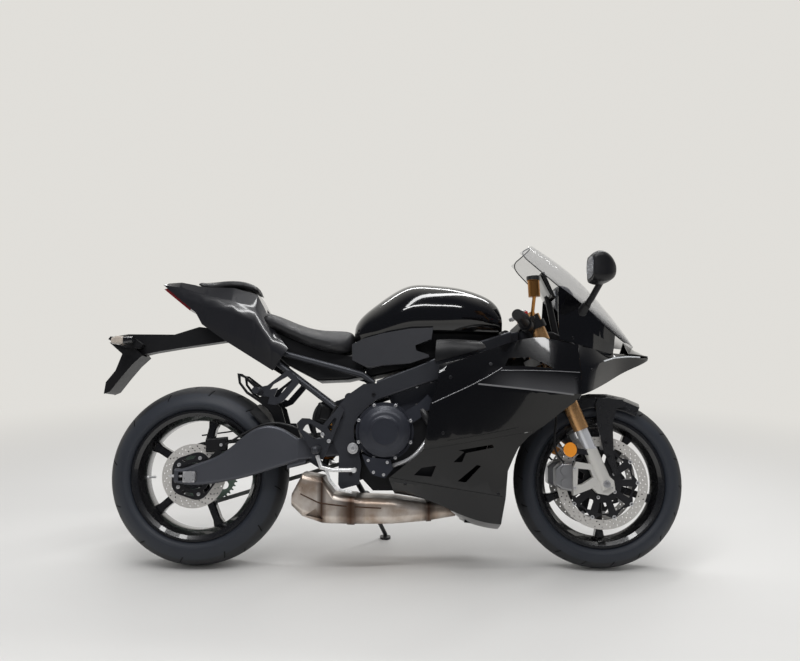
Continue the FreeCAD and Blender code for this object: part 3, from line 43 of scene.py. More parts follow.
# Studio
# A plain pale floor under a pale sky. Long tube lamps hang overhead, along the motorcycle, and the
# room on the camera's side is dim, so that gloss panels stay deep and carry thin bands of light.


class Value:
    """An output of a node, which Python's arithmetic turns into Math nodes."""

    def __init__(self, owner, socket):
        self.owner = owner
        self.socket = socket

    def math(self, operation, *others):
        """One Math node on this value and up to two others."""
        inputs = dict(enumerate((self,) + others))
        return self.owner.node("ShaderNodeMath", {"operation": operation}, inputs)

    def __add__(self, other):
        return self.math("ADD", other)

    __radd__ = __add__

    def __sub__(self, other):
        return self.math("SUBTRACT", other)

    def __rsub__(self, other):
        return self.math("MULTIPLY", -1.0).math("ADD", other)

    def __mul__(self, other):
        return self.math("MULTIPLY", other)

    __rmul__ = __mul__

    def above(self, edge, soft=0.0001):
        """0 below the edge and 1 above it, over a soft width."""
        inputs = {"Value": self, "From Min": edge - soft, "From Max": edge + soft}
        return self.owner.node("ShaderNodeMapRange", {"interpolation_type": "SMOOTHSTEP"}, inputs)

    def within(self, low, high, soft=0.0001):
        """1 between two edges and 0 outside them."""
        return self.above(low, soft) * (1 - self.above(high, soft))


class Nodes:
    """A node tree being built, of a material or of the sky."""

    def __init__(self, tree):
        self.tree = tree

    def connect(self, socket, value):
        """Gives any socket a plain value or a link."""
        if isinstance(value, Value):
            self.tree.links.new(value.socket, socket)
        elif isinstance(value, tuple) and len(value) == 3 and len(socket.default_value) == 4:
            socket.default_value = value + (1.0,)
        else:
            socket.default_value = value

    def node(self, kind, settings, inputs, output=0):
        """Adds any node: its settings first, then its inputs, and returns one output."""
        made = self.tree.nodes.new(kind)
        for name, value in settings.items():
            setattr(made, name, value)
        for name, value in inputs.items():
            self.connect(made.inputs[name], value)
        return Value(self, made.outputs[output])

    def blend(self, factor, low, high):
        """Mix of two colours."""
        return self.node("ShaderNodeMix", {"data_type": "RGBA"}, {0: factor, 6: low, 7: high}, 2)

    def rays(self, *kinds):
        """1 for rays of the kinds named, and 0 for all others."""
        path = self.tree.nodes.new("ShaderNodeLightPath")
        found = Value(self, path.outputs[kinds[0]])
        for kind in kinds[1:]:
            found = found.math("MAXIMUM", Value(self, path.outputs[kind]))
        return found


LEAN = math.radians(11.0)
BIKE_SHIFT = (0.02405, -0.17722, 0.000374)
BIKE = Matrix.Translation(BIKE_SHIFT) @ Matrix.Rotation(-LEAN, 4, "X")


class Finish(Nodes):
    """A material being mixed: its nodes, and the sockets of its surface shader."""

    def __init__(self, name, **surface):
        self.material = bpy.data.materials.new(name)
        self.material.use_nodes = True
        super().__init__(self.material.node_tree)
        self.shader = self.tree.nodes["Principled BSDF"]
        self.upright = None
        for socket, value in surface.items():
            self.set(socket.replace("_", " "), value)

    def set(self, socket, value):
        """Gives a socket of the surface shader a plain value or a link."""
        self.connect(self.shader.inputs[socket], value)

    def place(self):
        """The point on the piece, in metres, in the upright motorcycle's own frame."""
        if self.upright is None:
            stands = self.node("ShaderNodeTexCoord", {}, {}, "Object")
            inputs = {"Vector": stands, "Location": BIKE_SHIFT, "Rotation": (-LEAN, 0.0, 0.0)}
            self.upright = self.node("ShaderNodeMapping", {"vector_type": "TEXTURE"}, inputs)
        return self.upright

    def axis(self, name):
        """One coordinate of the point on the piece."""
        return self.node("ShaderNodeSeparateXYZ", {}, {"Vector": self.place()}, name)

    def noise(self, scale, detail=2.0, roughness=0.5):
        """Cloudy pattern from 0 to 1."""
        inputs = {"Vector": self.place(), "Scale": scale, "Detail": detail, "Roughness": roughness}
        return self.node("ShaderNodeTexNoise", {}, inputs, "Fac")

    def bump(self, height, strength, distance):
        """Raises the surface's normal by a pattern."""
        inputs = {"Height": height, "Strength": strength, "Distance": distance}
        self.set("Normal", self.node("ShaderNodeBump", {}, inputs))

    def wear(self, low, high, scale=60.0):
        """Lets the roughness drift a little over the surface, as handled and wiped surfaces do."""
        self.set("Roughness", self.noise(scale, 3.0) * (high - low) + low)


WALL_COLOR = (0.75, 0.735, 0.70)
SEEN_RAYS = ("Is Camera Ray", "Is Glossy Ray", "Is Transmission Ray")
FLOOR_REACH = 12.0
GLOW_EDGE = 2.9
GLOW_SOFT = 1.5
floor_paint = Finish("pale_floor", Base_Color=(0.66, 0.655, 0.64), Roughness=0.55)
spot = floor_paint.node("ShaderNodeTexCoord", {}, {}, "Object")
away = floor_paint.node("ShaderNodeVectorMath", {"operation": "LENGTH"}, {0: spot}, "Value")
glow = floor_paint.node("ShaderNodeEmission", {}, {"Color": WALL_COLOR, "Strength": 1.0})
near = Value(floor_paint, floor_paint.shader.outputs["BSDF"])
share = away.above(GLOW_EDGE, GLOW_SOFT) * floor_paint.rays(*SEEN_RAYS)
far = floor_paint.node("ShaderNodeMixShader", {}, {0: share, 1: near, 2: glow})
floor_paint.material.cycles.emission_sampling = "NONE"
floor_paint.connect(floor_paint.tree.nodes["Material Output"].inputs["Surface"], far)
bpy.ops.object.select_all(action="DESELECT")
bpy.ops.mesh.primitive_plane_add(size=2 * FLOOR_REACH)
floor = bpy.context.object
floor.name = "floor"
floor.data.materials.append(floor_paint.material)

SKY_COLOR = (0.95, 0.95, 0.96)
SKY_STRENGTH = 0.55
ROOM_COLOR = (0.075, 0.080, 0.095)
ROOM_EDGE = 0.15
ROOM_SOFT = 0.35
world = bpy.data.worlds.new("studio")
scene.world = world
world.use_nodes = True
sky = Nodes(world.node_tree)
soft = sky.node("ShaderNodeBackground", {}, {"Color": SKY_COLOR, "Strength": SKY_STRENGTH})
heading = sky.node("ShaderNodeTexCoord", {}, {}, "Generated")
ahead = sky.node("ShaderNodeSeparateXYZ", {}, {"Vector": heading}, "Y")
behind = ahead.above(ROOM_EDGE, ROOM_SOFT).math("MAXIMUM", sky.rays("Is Camera Ray"))
room = sky.blend(behind, ROOM_COLOR, WALL_COLOR)
shown = sky.node("ShaderNodeBackground", {}, {"Color": room, "Strength": 1.0})
choice = sky.node("ShaderNodeMixShader", {}, {0: sky.rays(*SEEN_RAYS), 1: soft, 2: shown})
sky.connect(sky.tree.nodes["World Output"].inputs["Surface"], choice)

TUBE_LENGTH = 4.2
LAMP_AIM = Vector((0.0, 0.0, 0.4))
for label, spot, width, power in (("tube_near", (0.2, -1.9, 3.3), 0.16, 42),
                                  ("tube_middle", (0.2, -0.2, 3.1), 0.30, 50),
                                  ("tube_far", (0.2, 1.6, 3.0), 0.16, 38)):
    light = bpy.data.lights.new(label, "AREA")
    light.shape = "RECTANGLE"
    light.size = TUBE_LENGTH
    light.size_y = width
    light.energy = power
    lamp = bpy.data.objects.new(label, light)
    lamp.location = spot
    lamp.rotation_euler = (LAMP_AIM - Vector(spot)).to_track_quat("-Z", "Y").to_euler()
    scene.collection.objects.link(lamp)

# Camera
# A camera with a moderately wide lens stands on the motorcycle's right side, at chest height, and
# looks a little down, as the photograph does.

CAMERA_PLACE = (0.0236, -2.7614, 0.9834)
CAMERA_DOWN = math.radians(3.24)
CAMERA_ROLL = math.radians(0.4)
LENS_MM = 33.55
SENSOR_MM = 36.0
camera = bpy.data.objects.new("camera", bpy.data.cameras.new("camera"))
camera.data.lens = LENS_MM
camera.data.sensor_width = SENSOR_MM
camera.location = CAMERA_PLACE
aim = Matrix.Rotation(math.pi / 2 - CAMERA_DOWN, 4, "X") @ Matrix.Rotation(CAMERA_ROLL, 4, "Z")
camera.rotation_euler = aim.to_euler()
scene.collection.objects.link(camera)
scene.camera = camera

# Tyres
# Road tyres of black rubber on both wheels. The crown carries short slanting grooves, moulded in,
# between a bare middle and a bare shoulder, and the side wall fine rings near the rim.

FRONT_AXLE = Vector((0.710, 0.0, 0.3011))
REAR_AXLE = Vector((-0.710, 0.0, 0.31667))


def alone():
    """Deselects every piece, so that the next operator acts only on the new one."""
    bpy.ops.object.select_all(action="DESELECT")


def take(piece):
    """Makes a piece the one that operators act on."""
    alone()
    piece.select_set(True)
    bpy.context.view_layer.objects.active = piece


def pick_faces(test):
    """In edit mode, selects the faces whose middle and normal pass a test, and no others."""
    mesh = bpy.context.object.data
    bpy.ops.mesh.select_mode(type="FACE")
    bpy.ops.mesh.select_all(action="DESELECT")
    shape = bmesh.from_edit_mesh(mesh)
    for face in shape.faces:
        face.select_set(test(face.calc_center_median(), face.normal))
    bmesh.update_edit_mesh(mesh)


def settle(piece, name, body, finish, smooth=35.0):
    """Puts a piece from the upright frame into its place, finishes it and lets it ride."""
    piece.name = name
    piece.data.transform(BIKE @ piece.matrix_world)
    piece.matrix_world = Matrix()
    piece.data.materials.clear()
    piece.data.materials.append(finish.material)
    take(piece)
    bpy.ops.object.shade_smooth_by_angle(angle=math.radians(smooth))
    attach(piece, body)
    return piece


def arc(start, middle, end, steps):
    """Points on the round line through three points of a section, given as pairs."""
    (ax, ay), (bx, by), (cx, cy) = start, middle, end
    twice = 2 * (ax * (by - cy) + bx * (cy - ay) + cx * (ay - by))
    a2, b2, c2 = ax * ax + ay * ay, bx * bx + by * by, cx * cx + cy * cy
    ox = (a2 * (by - cy) + b2 * (cy - ay) + c2 * (ay - by)) / twice
    oy = (a2 * (cx - bx) + b2 * (ax - cx) + c2 * (bx - ax)) / twice
    radius = math.hypot(ax - ox, ay - oy)
    first = math.atan2(ay - oy, ax - ox)
    turn = math.remainder(math.atan2(by - oy, bx - ox) - first, math.tau)
    turn += math.remainder(math.atan2(cy - oy, cx - ox) - first - turn, math.tau)
    spots = [first + turn * k / steps for k in range(steps + 1)]
    return [(ox + radius * math.cos(t), oy + radius * math.sin(t)) for t in spots]


# Groove floors are near black: painted shade in the sunk grooves, with some dirt.
groove_shade_and_dirt = Finish("groove_shade_and_dirt", Base_Color=(0.002, 0.002, 0.002), Roughness=0.9)
groove_shade_and_dirt.bump(groove_shade_and_dirt.noise(1500.0), 0.2, 0.0002)
COLUMNS = 360
CROWN_STEPS = 22
WALL_STEPS = 8
BULGE_INSET = 0.002
BULGE_SHARE = 0.45
SLANT = 0.16
GROOVE_DEPTH = 0.0022
GROOVE_END = 0.9
LONG_GROOVE = (0.12, 0.50)
SHORT_GROOVE = (0.56, 0.84)
LIP_R = 0.229
BEAD_R = 0.2185
BEAD_W = 0.009
BEAD_INSET = 0.0085
INNER_R = 0.232
TREAD_WALL = 0.014


def tyre(name, node, body, axle, outer_r, width, crown_r, rim_w, grooves, finish):
    """A section with slanting columns is spun round the axle, and its grooves are sunk in."""
    half = width / 2
    middle_r = outer_r - crown_r
    edge_r = middle_r + math.sqrt(crown_r ** 2 - half ** 2)
    bead = rim_w / 2 - BEAD_INSET
    crown = arc((-half, edge_r), (0, outer_r), (half, edge_r), CROWN_STEPS)
    bulge = (half - BULGE_INSET, edge_r * (1 - BULGE_SHARE) + LIP_R * BULGE_SHARE)
    wall = arc((half, edge_r), bulge, (bead, LIP_R), WALL_STEPS)[1:]
    foot = [(bead, BEAD_R), (bead - BEAD_W, BEAD_R), (bead - BEAD_W, INNER_R)]
    side = wall + foot + [(half * 0.62, middle_r + crown_r * 0.6)]
    section = crown + side + [(0, outer_r - TREAD_WALL)] + [(-y, r) for y, r in reversed(side)]
    alone()
    bpy.ops.mesh.primitive_circle_add(vertices=len(section), radius=outer_r)
    piece = bpy.context.object
    for point, (y, r) in zip(piece.data.vertices, section):
        turn = SLANT * abs(y) / half
        point.co = (axle.x + r * math.cos(turn), y, axle.z + r * math.sin(turn))
    bpy.ops.object.mode_set(mode="EDIT")
    bpy.ops.mesh.select_all(action="SELECT")
    bpy.ops.mesh.spin(steps=COLUMNS, angle=math.tau, center=axle, axis=(0, 1, 0))
    bpy.ops.mesh.select_all(action="SELECT")
    bpy.ops.mesh.remove_doubles(threshold=0.00001)
    bpy.ops.mesh.normals_make_consistent(inside=False)

    def grooved(middle, normal):
        out = middle - axle
        share = abs(out.y) / half
        if share > GROOVE_END or normal.dot(Vector((out.x, 0, out.z))) <= 0:
            return False
        turn = math.atan2(out.z, out.x) - SLANT * share
        column = math.floor(turn / math.tau * COLUMNS) % grooves
        if column == 0:
            return LONG_GROOVE[0] < share < LONG_GROOVE[1]
        return column == grooves // 2 and SHORT_GROOVE[0] < share < SHORT_GROOVE[1]

    pick_faces(grooved)
    bpy.ops.mesh.extrude_region_move()
    bpy.ops.transform.shrink_fatten(value=-GROOVE_DEPTH)
    bpy.ops.object.mode_set(mode="OBJECT")
    sunk = [face.index for face in piece.data.polygons if face.select]
    settle(piece, name, body, finish, 30.0)
    # The sunk groove faces take the painted groove shade.
    piece.data.materials.append(groove_shade_and_dirt.material)
    for index in sunk:
        piece.data.polygons[index].material_index = 1
    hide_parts(node)


def around(finish, axle):
    """Distance from a wheel's axle, for a point on a wheel's piece."""
    x = finish.axis("X") - axle.x
    z = finish.axis("Z") - axle.z
    return (x * x + z * z).math("SQRT")


def rubber(name, axle, wall_r):
    """Black rubber with a bluish bloom, and fine moulded rings on the side wall."""
    finish = Finish(name)
    reach = around(finish, axle)
    rings = (reach * 900.0).math("SINE") * reach.within(0.232, 0.252, 0.001)
    finish.bump(rings * 0.35 + finish.noise(1200.0, 3.0) * 0.25, 0.6, 0.0006)
    cloud = finish.noise(9.0, 3.0)
    wall = 1 - reach.above(wall_r, 0.004)
    tread_color = finish.blend(cloud, (0.007, 0.008, 0.010), (0.013, 0.014, 0.018))
    finish.set("Base Color", finish.blend(wall, tread_color, (0.017, 0.021, 0.030)))
    finish.set("Roughness", finish.noise(30.0, 2.0) * 0.12 + 0.52)
    return finish


tyre("front_road_tyre", "front_tyre", "front_wheel", FRONT_AXLE, outer_r=0.2999, width=0.120, crown_r=0.062,
     rim_w=0.096, grooves=20, finish=rubber("front_rubber", FRONT_AXLE, 0.275))
tyre("rear_road_tyre", "rear_tyre", "rear_wheel", REAR_AXLE, outer_r=0.3149, width=0.180, crown_r=0.095,
     rim_w=0.148, grooves=30, finish=rubber("rear_rubber", REAR_AXLE, 0.287))

# Wheels
# Cast aluminium wheels with five spokes, powder coated gloss black. Each has a metal valve stem
# with a cap, which stands in the well of the rim and points at the axle.

SAME_POINT = 0.00001
SHARP_EDGE = math.radians(32)


def cover(name, finish):
    """Gives a construction node its finish, and smooths its curved faces."""
    piece = nodes[name]
    piece.data.materials.clear()
    piece.data.materials.append(finish.material)
    for face in piece.data.polygons:
        face.use_smooth = True
    weld = piece.modifiers.new("weld", "WELD")
    weld.merge_threshold = SAME_POINT
    split = piece.modifiers.new("split", "EDGE_SPLIT")
    split.split_angle = SHARP_EDGE


wheel_black = Finish("wheel_black", Base_Color=(0.005, 0.005, 0.006), Coat_Weight=0.6)
wheel_black.wear(0.20, 0.32)
wheel_black.bump(wheel_black.noise(700.0, 2.0), 0.12, 0.0004)
cover("front_rim", wheel_black)
cover("rear_rim", wheel_black)

steel = Finish("bolt_steel", Base_Color=(0.62, 0.62, 0.63), Metallic=0.6)
steel.wear(0.22, 0.40, 300.0)


def bolt_model():
    """A button-head screw one unit wide and high, with its socket sunk in."""
    alone()
    bpy.ops.mesh.primitive_cylinder_add(vertices=18, radius=1, depth=1, location=(0, 0, 0.5))
    piece = bpy.context.object
    piece.data.transform(piece.matrix_world)
    piece.matrix_world = Matrix()
    bpy.ops.object.mode_set(mode="EDIT")
    pick_faces(lambda middle, normal: normal.z > 0.9)
    bpy.ops.mesh.bevel(offset=0.25, segments=2, affect="EDGES")
    pick_faces(lambda middle, normal: normal.z > 0.9 and middle.z > 0.98)
    bpy.ops.mesh.inset(thickness=0.30)
    bpy.ops.mesh.extrude_region_move(TRANSFORM_OT_translate={"value": (0, 0, -0.55)})
    bpy.ops.object.mode_set(mode="OBJECT")
    piece.name = "bolt_model"
    return piece


def stand_on(point, normal, radius, height):
    """The place of a model that stands on a point, its top along a direction."""
    turn = Vector(normal).to_track_quat("Z", "Y").to_matrix().to_4x4()
    return Matrix.Translation(point) @ turn @ Matrix.Diagonal((radius, radius, height, 1))


def joined(pieces):
    """Pieces joined into the first of them."""
    take(pieces[0])
    for piece in pieces:
        piece.select_set(True)
    if len(pieces) > 1:
        bpy.ops.object.join()
    return pieces[0]


def copies(model, places):
    """One piece made of copies of a model, each with its own mesh in its place."""
    made = []
    for place in places:
        piece = bpy.data.objects.new(model.name, model.data.copy())
        piece.data.transform(place)
        scene.collection.objects.link(piece)
        made.append(piece)
    return joined(made)


bolt = bolt_model()
VALVE_R = 0.191
VALVE_Y = -0.012
for name, body, axle, turn in (("front_valve", "front_wheel", FRONT_AXLE, 2.4),
                               ("rear_valve", "rear_wheel", REAR_AXLE, 3.2)):
    toward = Vector((-math.cos(turn), 0, -math.sin(turn)))
    root = axle - toward * VALVE_R + Vector((0, VALVE_Y, 0))
    parts = [stand_on(root, toward, 0.0035, 0.030), stand_on(root, toward, 0.006, 0.007),
             stand_on(root + toward * 0.021, toward, 0.0045, 0.011)]
    settle(copies(bolt, parts), name, body, steel)

# Brake discs
# Drilled stainless steel bands, each floating on a black aluminium carrier by ten steel bobbins
# at the front, and bolted to the hub by a black carrier at the rear.

BAND_T = 0.0046
HOLE_R = 0.0030
disc_steel = Finish("disc_steel", Base_Color=(0.62, 0.60, 0.57), Metallic=0.45)
disc_steel.wear(0.32, 0.46, 90.0)
carrier_black = Finish("carrier_black", Base_Color=(0.010, 0.010, 0.012), Roughness=0.35)
carrier_black.bump(carrier_black.noise(900.0, 2.0), 0.1, 0.0002)


def cut_plate(outlines, thickness, places):
    """Flat plate cut out between closed outlines round the origin, stood up across each place."""
    made = []
    for spot in places:
        flat = bpy.data.curves.new("plate", "CURVE")
        flat.dimensions = "2D"
        flat.fill_mode = "BOTH"
        flat.extrude = thickness / 2
        flat.bevel_depth = 0.0003
        flat.bevel_resolution = 0
        for outline in outlines:
            line = flat.splines.new("POLY")
            line.points.add(len(outline) - 1)
            for point, (x, z) in zip(line.points, outline):
                point.co = (x, z, 0, 1)
            line.use_cyclic_u = True
        holder = bpy.data.objects.new("plate", flat)
        holder.matrix_world = Matrix.Translation(spot) @ Matrix.Rotation(math.pi / 2, 4, "X")
        scene.collection.objects.link(holder)
        take(holder)
        bpy.ops.object.convert(target="MESH")
        made.append(bpy.context.object)
    piece = joined(made)
    piece.data.transform(piece.matrix_world)
    piece.matrix_world = Matrix()
    return piece


def round_line(radius, steps, x=0.0, z=0.0, wave=0.0, waves=0):
    """Closed outline round a point, with a waved edge where asked."""
    spots = []
    for k in range(steps):
        turn = math.tau * k / steps
        reach = radius + wave * math.cos(waves * turn)
        spots.append((x + reach * math.cos(turn), z + reach * math.sin(turn)))
    return spots


def drilled(rows, count, drift):
    """Outlines of drilled holes in rows, each row a little further round."""
    holes = []
    for k in range(count):
        for row, radius in enumerate(rows):
            turn = math.tau * k / count + drift * row
            holes.append(round_line(HOLE_R, 8, radius * math.cos(turn), radius * math.sin(turn)))
    return holes


def windows(count, inner, outer, share):
    """Outlines of the openings between a carrier's arms."""
    holes = []
    for k in range(count):
        middle = math.tau * (k + 0.5) / count
        wide = math.pi / count * share
        far_arc = [(outer, middle - wide + wide * 2 * s / 6) for s in range(7)]
        near_arc = [(inner, middle + wide * 0.8 - wide * 1.6 * s / 4) for s in range(5)]
        holes.append([(r * math.cos(t), r * math.sin(t)) for r, t in far_arc + near_arc])
    return holes


def ringed(axle, y, side, count, start, reach, radius, height):
    """Places of screws in a ring round an axle, standing outwards on one side."""
    places = []
    for k in range(count):
        turn = math.tau * (k + start) / count
        spot = axle + Vector((reach * math.cos(turn), y, reach * math.sin(turn)))
        places.append(stand_on(spot, (0, side, 0), radius, height))
    return places


FRONT_DISC_Y = (-0.071, 0.071)
BOBBIN_SINK = 0.004
front_spots = [Vector((FRONT_AXLE.x, y, FRONT_AXLE.z)) for y in FRONT_DISC_Y]
edges = [round_line(0.159, 120), round_line(0.127, 120)]
band = cut_plate(edges + drilled((0.1335, 0.1425, 0.1515), 36, 0.075), BAND_T, front_spots)
settle(band, "front_brake_bands", "front_wheel", disc_steel)
edges = [round_line(0.117, 160, wave=0.007, waves=10), round_line(0.036, 40)]
hub = cut_plate(edges + windows(10, 0.068, 0.106, 0.62), 0.0040, front_spots)
settle(hub, "front_disc_carriers", "front_wheel", carrier_black)
bobbins = []
for y in FRONT_DISC_Y:
    side = math.copysign(1.0, y)
    bobbins += ringed(FRONT_AXLE, y - side * BOBBIN_SINK, side, 10, 0.0, 0.1235, 0.0075, 0.008)
    bobbins += ringed(FRONT_AXLE, y - side * BOBBIN_SINK, side, 5, 0.5, 0.052, 0.0065, 0.010)
settle(copies(bolt, bobbins), "front_disc_bobbins", "front_wheel", steel)
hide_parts("front_discs")

REAR_DISC_Y = -0.099
rear_spot = [Vector((REAR_AXLE.x, REAR_DISC_Y, REAR_AXLE.z))]
edges = [round_line(0.1095, 110), round_line(0.076, 90)]
band = cut_plate(edges + drilled((0.086, 0.094, 0.102), 24, 0.09), BAND_T, rear_spot)
settle(band, "rear_brake_band", "rear_wheel", disc_steel)
edges = [round_line(0.079, 120, wave=0.004, waves=5), round_line(0.046, 40)]
hub = cut_plate(edges + windows(5, 0.058, 0.070, 0.6), 0.0052, rear_spot)
settle(hub, "rear_disc_carrier", "rear_wheel", carrier_black)
screws = ringed(REAR_AXLE, REAR_DISC_Y - 0.0020, -1, 5, 0.0, 0.064, 0.0065, 0.006)
settle(copies(bolt, screws), "rear_disc_screws", "rear_wheel", steel)
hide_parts("rear_disc")

# Front fork, clamps and brakes
# Gold anodised outer tubes over polished inner tubes, cast feet that carry the radial calipers,
# an axle with a hexagon end, and rubber brake hoses up to the steering head.

gold = Finish("gold_anodised", Base_Color=(0.60, 0.34, 0.15), Metallic=0.7)
gold.wear(0.20, 0.34, 40.0)
cover("fork_tubes", gold)
FOOT_TOP_Z = 0.42
cast = Finish("cast_silver", Metallic=0.4)
tube_mask = cast.axis("Z").above(FOOT_TOP_Z, 0.001)
cast.set("Base Color", cast.blend(tube_mask, (0.62, 0.61, 0.58), (0.66, 0.67, 0.70)))
cast.set("Roughness", (1 - tube_mask) * 0.26 + 0.16)
cast.bump(cast.noise(900.0, 3.0) * (1 - tube_mask), 0.2, 0.0004)
cover("fork_lowers", cast)
clamp = Finish("caliper_grey", Base_Color=(0.34, 0.34, 0.35), Metallic=0.8)
clamp.wear(0.34, 0.46, 50.0)
clamp.bump(clamp.noise(1000.0, 3.0), 0.2, 0.0003)
cover("front_calipers", clamp)
plated = Finish("axle_steel", Base_Color=(0.55, 0.55, 0.56), Metallic=0.7)
plated.wear(0.22, 0.36, 120.0)
cover("front_axle", plated)
REFLECTOR_X = 0.584
REFLECTOR_Z = 0.416
REFLECTOR_R = 0.0265
amber = Finish("amber_lens", Roughness=0.12, Coat_Weight=1.0)
stalk_x = amber.axis("X") - REFLECTOR_X
stalk_z = amber.axis("Z") - REFLECTOR_Z
beyond = (stalk_x * stalk_x + stalk_z * stalk_z).math("SQRT").above(REFLECTOR_R, 0.0005)
amber.set("Base Color", amber.blend(beyond, (0.85, 0.30, 0.02), (0.008, 0.008, 0.009)))
prisms = (amber.axis("X") * 900.0).math("SINE") * (amber.axis("Z") * 900.0).math("SINE")
amber.bump(prisms, 0.4, 0.0006)
cover("fork_reflectors", amber)
satin = Finish("satin_black", Base_Color=(0.006, 0.006, 0.007), Specular_IOR_Level=0.35)
satin.wear(0.34, 0.46)
satin.bump(satin.noise(1400.0, 2.0), 0.12, 0.0002)
cover("triple_clamps", satin)

hose_rubber = Finish("hose_rubber", Base_Color=(0.012, 0.012, 0.013), Roughness=0.42)
hose_rubber.bump(hose_rubber.noise(1500.0, 2.0), 0.2, 0.0002)


def hose(name, body, route, radius, finish=hose_rubber):
    """Round hose along a smooth route in the upright frame."""
    line = bpy.data.curves.new(name, "CURVE")
    line.dimensions = "3D"
    line.resolution_u = 8
    line.bevel_depth = radius
    line.bevel_resolution = 3
    line.use_fill_caps = True
    run = line.splines.new("NURBS")
    run.points.add(len(route) - 1)
    for point, spot in zip(run.points, route):
        point.co = tuple(spot) + (1.0,)
    run.order_u = 3
    run.use_endpoint_u = True
    piece = bpy.data.objects.new(name, line)
    scene.collection.objects.link(piece)
    take(piece)
    bpy.ops.object.convert(target="MESH")
    return settle(bpy.context.object, name, body, finish, 60.0)


for side, label in ((-1, "right"), (1, "left")):
    hose("front_brake_hose_" + label, "steering",
         [(0.572, side * 0.100, 0.372), (0.545, side * 0.100, 0.395), (0.538, side * 0.098, 0.450),
          (0.552, side * 0.090, 0.520), (0.545, side * 0.076, 0.590), (0.520, side * 0.060, 0.660),
          (0.512, side * 0.040, 0.715)], 0.0038)
FORK_FOOT_Y = 0.119
fork_bolts = [stand_on((0.710, -0.121, 0.3011), (0, -1, 0), 0.0105, 0.006),
              stand_on((0.730, -FORK_FOOT_Y, 0.288), (0, -1, 0), 0.004, 0.004)]
for z in (0.286, 0.352):
    for side in (-1, 1):
        fork_bolts.append(stand_on((0.603, side * FORK_FOOT_Y, z), (0, side, 0), 0.0055, 0.006))
settle(copies(bolt, fork_bolts), "fork_foot_screws", "steering", steel)

# Front fender
# Moulded black plastic with a woven texture on its side blades, held to the fork by two screws on
# each side.

weave = Finish("woven_black", Base_Color=(0.008, 0.008, 0.009), Coat_Weight=0.5)
along = weave.axis("X") * 1600.0
across = weave.axis("Z") * 1600.0
weave.bump(along.math("SINE") * across.math("SINE"), 0.35, 0.0005)
weave.wear(0.22, 0.36)
cover("front_fender", weave)

BESIDE_Y = 0.6
SCREW_SINK = 0.001


def skin_point(node, x, z, side):
    """Where a line across the motorcycle meets a piece first, and how the piece faces there."""
    start = BIKE @ Vector((x, side * BESIDE_Y, z))
    heading = BIKE.to_3x3() @ Vector((0, -side, 0))
    hit, spot, normal, face = nodes[node].ray_cast(start, heading)
    back = BIKE.inverted()
    facing = back.to_3x3() @ normal
    if facing.y * side < 0:
        facing.negate()
    return (back @ spot, facing) if hit else None


def skin_screws(node, spots, radius, height, sides=(-1, 1)):
    """Screws that stand on a piece at places given along and up, on both sides unless told."""
    places = []
    for x, z in spots:
        for side in sides:
            found = skin_point(node, x, z, side)
            if found:
                places.append(stand_on(found[0] - found[1] * SCREW_SINK, found[1], radius, height))
    return places


dark_screw = Finish("dark_screw", Base_Color=(0.03, 0.03, 0.033), Metallic=0.8)
dark_screw.wear(0.30, 0.42, 300.0)
screws = skin_screws("front_fender", [(0.722, 0.440), (0.730, 0.392)], 0.0065, 0.004)
settle(copies(bolt, screws), "fender_screws", "steering", dark_screw)

# Frame, swingarm and rear suspension
# Cast and pressed aluminium painted charcoal, with a silver ring nut at the pivot, a machined
# axle plate at the swingarm's end, and a shock absorber with a gold spring.

charcoal = Finish("charcoal", Metallic=0.5)
cloud = charcoal.noise(7.0, 2.0)
charcoal.set("Base Color", charcoal.blend(cloud, (0.030, 0.032, 0.038), (0.050, 0.052, 0.061)))
charcoal.wear(0.34, 0.44, 30.0)
charcoal.bump(charcoal.noise(1600.0, 2.0), 0.15, 0.0002)
cover("main_frame", charcoal)
cover("subframe", charcoal)
arm_grey = Finish("arm_grey", Metallic=0.55)
arm_grey.set("Base Color", arm_grey.blend(arm_grey.noise(5.0), (0.062, 0.065, 0.076), (0.095, 0.099, 0.115)))
arm_grey.wear(0.36, 0.44, 25.0)
arm_grey.bump(arm_grey.noise(1600.0, 2.0), 0.15, 0.0002)
cover("swingarm", arm_grey)
cover("rear_axle", plated)
SPRING_FOOT_Z = 0.375
SPRING_TOP_Z = 0.535
spring = Finish("shock", Roughness=0.30)
coil = spring.axis("Z").within(SPRING_FOOT_Z, SPRING_TOP_Z, 0.001)
turns = (spring.axis("Z") * 420.0).math("SINE").above(-0.2, 0.3)
spring.set("Base Color", spring.blend(coil * turns, (0.012, 0.012, 0.012), (0.50, 0.24, 0.07)))
spring.set("Metallic", coil * turns)
spring.bump(turns * coil, 0.8, 0.004)
cover("rear_shock", spring)

PIVOT_X = -0.158
PIVOT_Z = 0.416
nut = [stand_on((PIVOT_X, -0.152, PIVOT_Z), (0, -1, 0), 0.019, 0.008),
       stand_on((PIVOT_X, -0.158, PIVOT_Z), (0, -1, 0), 0.011, 0.007)]
settle(copies(bolt, nut), "pivot_ring_nut", "root", steel)
PLATE_X = -0.713
PLATE_Z = 0.3165
alone()
bpy.ops.mesh.primitive_cube_add(size=1, location=(PLATE_X, -0.1515, PLATE_Z), scale=(0.040, 0.009, 0.036))
plate = bpy.context.object
bpy.ops.object.mode_set(mode="EDIT")
bpy.ops.mesh.select_all(action="SELECT")
bpy.ops.mesh.bevel(offset=0.0015, segments=2)
pick_faces(lambda middle, normal: normal.y < -0.9)
bpy.ops.mesh.inset(thickness=0.0022)
bpy.ops.mesh.extrude_region_move(TRANSFORM_OT_translate={"value": (0, 0.001, 0)})
bpy.ops.object.mode_set(mode="OBJECT")
settle(plate, "axle_plate", "root", steel)
adjusters = [stand_on((PLATE_X, -0.155, PLATE_Z), (0, -1, 0), 0.009, 0.006),
             stand_on((-0.740, -0.131, 0.318), (-1, 0, 0), 0.005, 0.045)]
settle(copies(bolt, adjusters), "axle_adjusters", "root", steel)

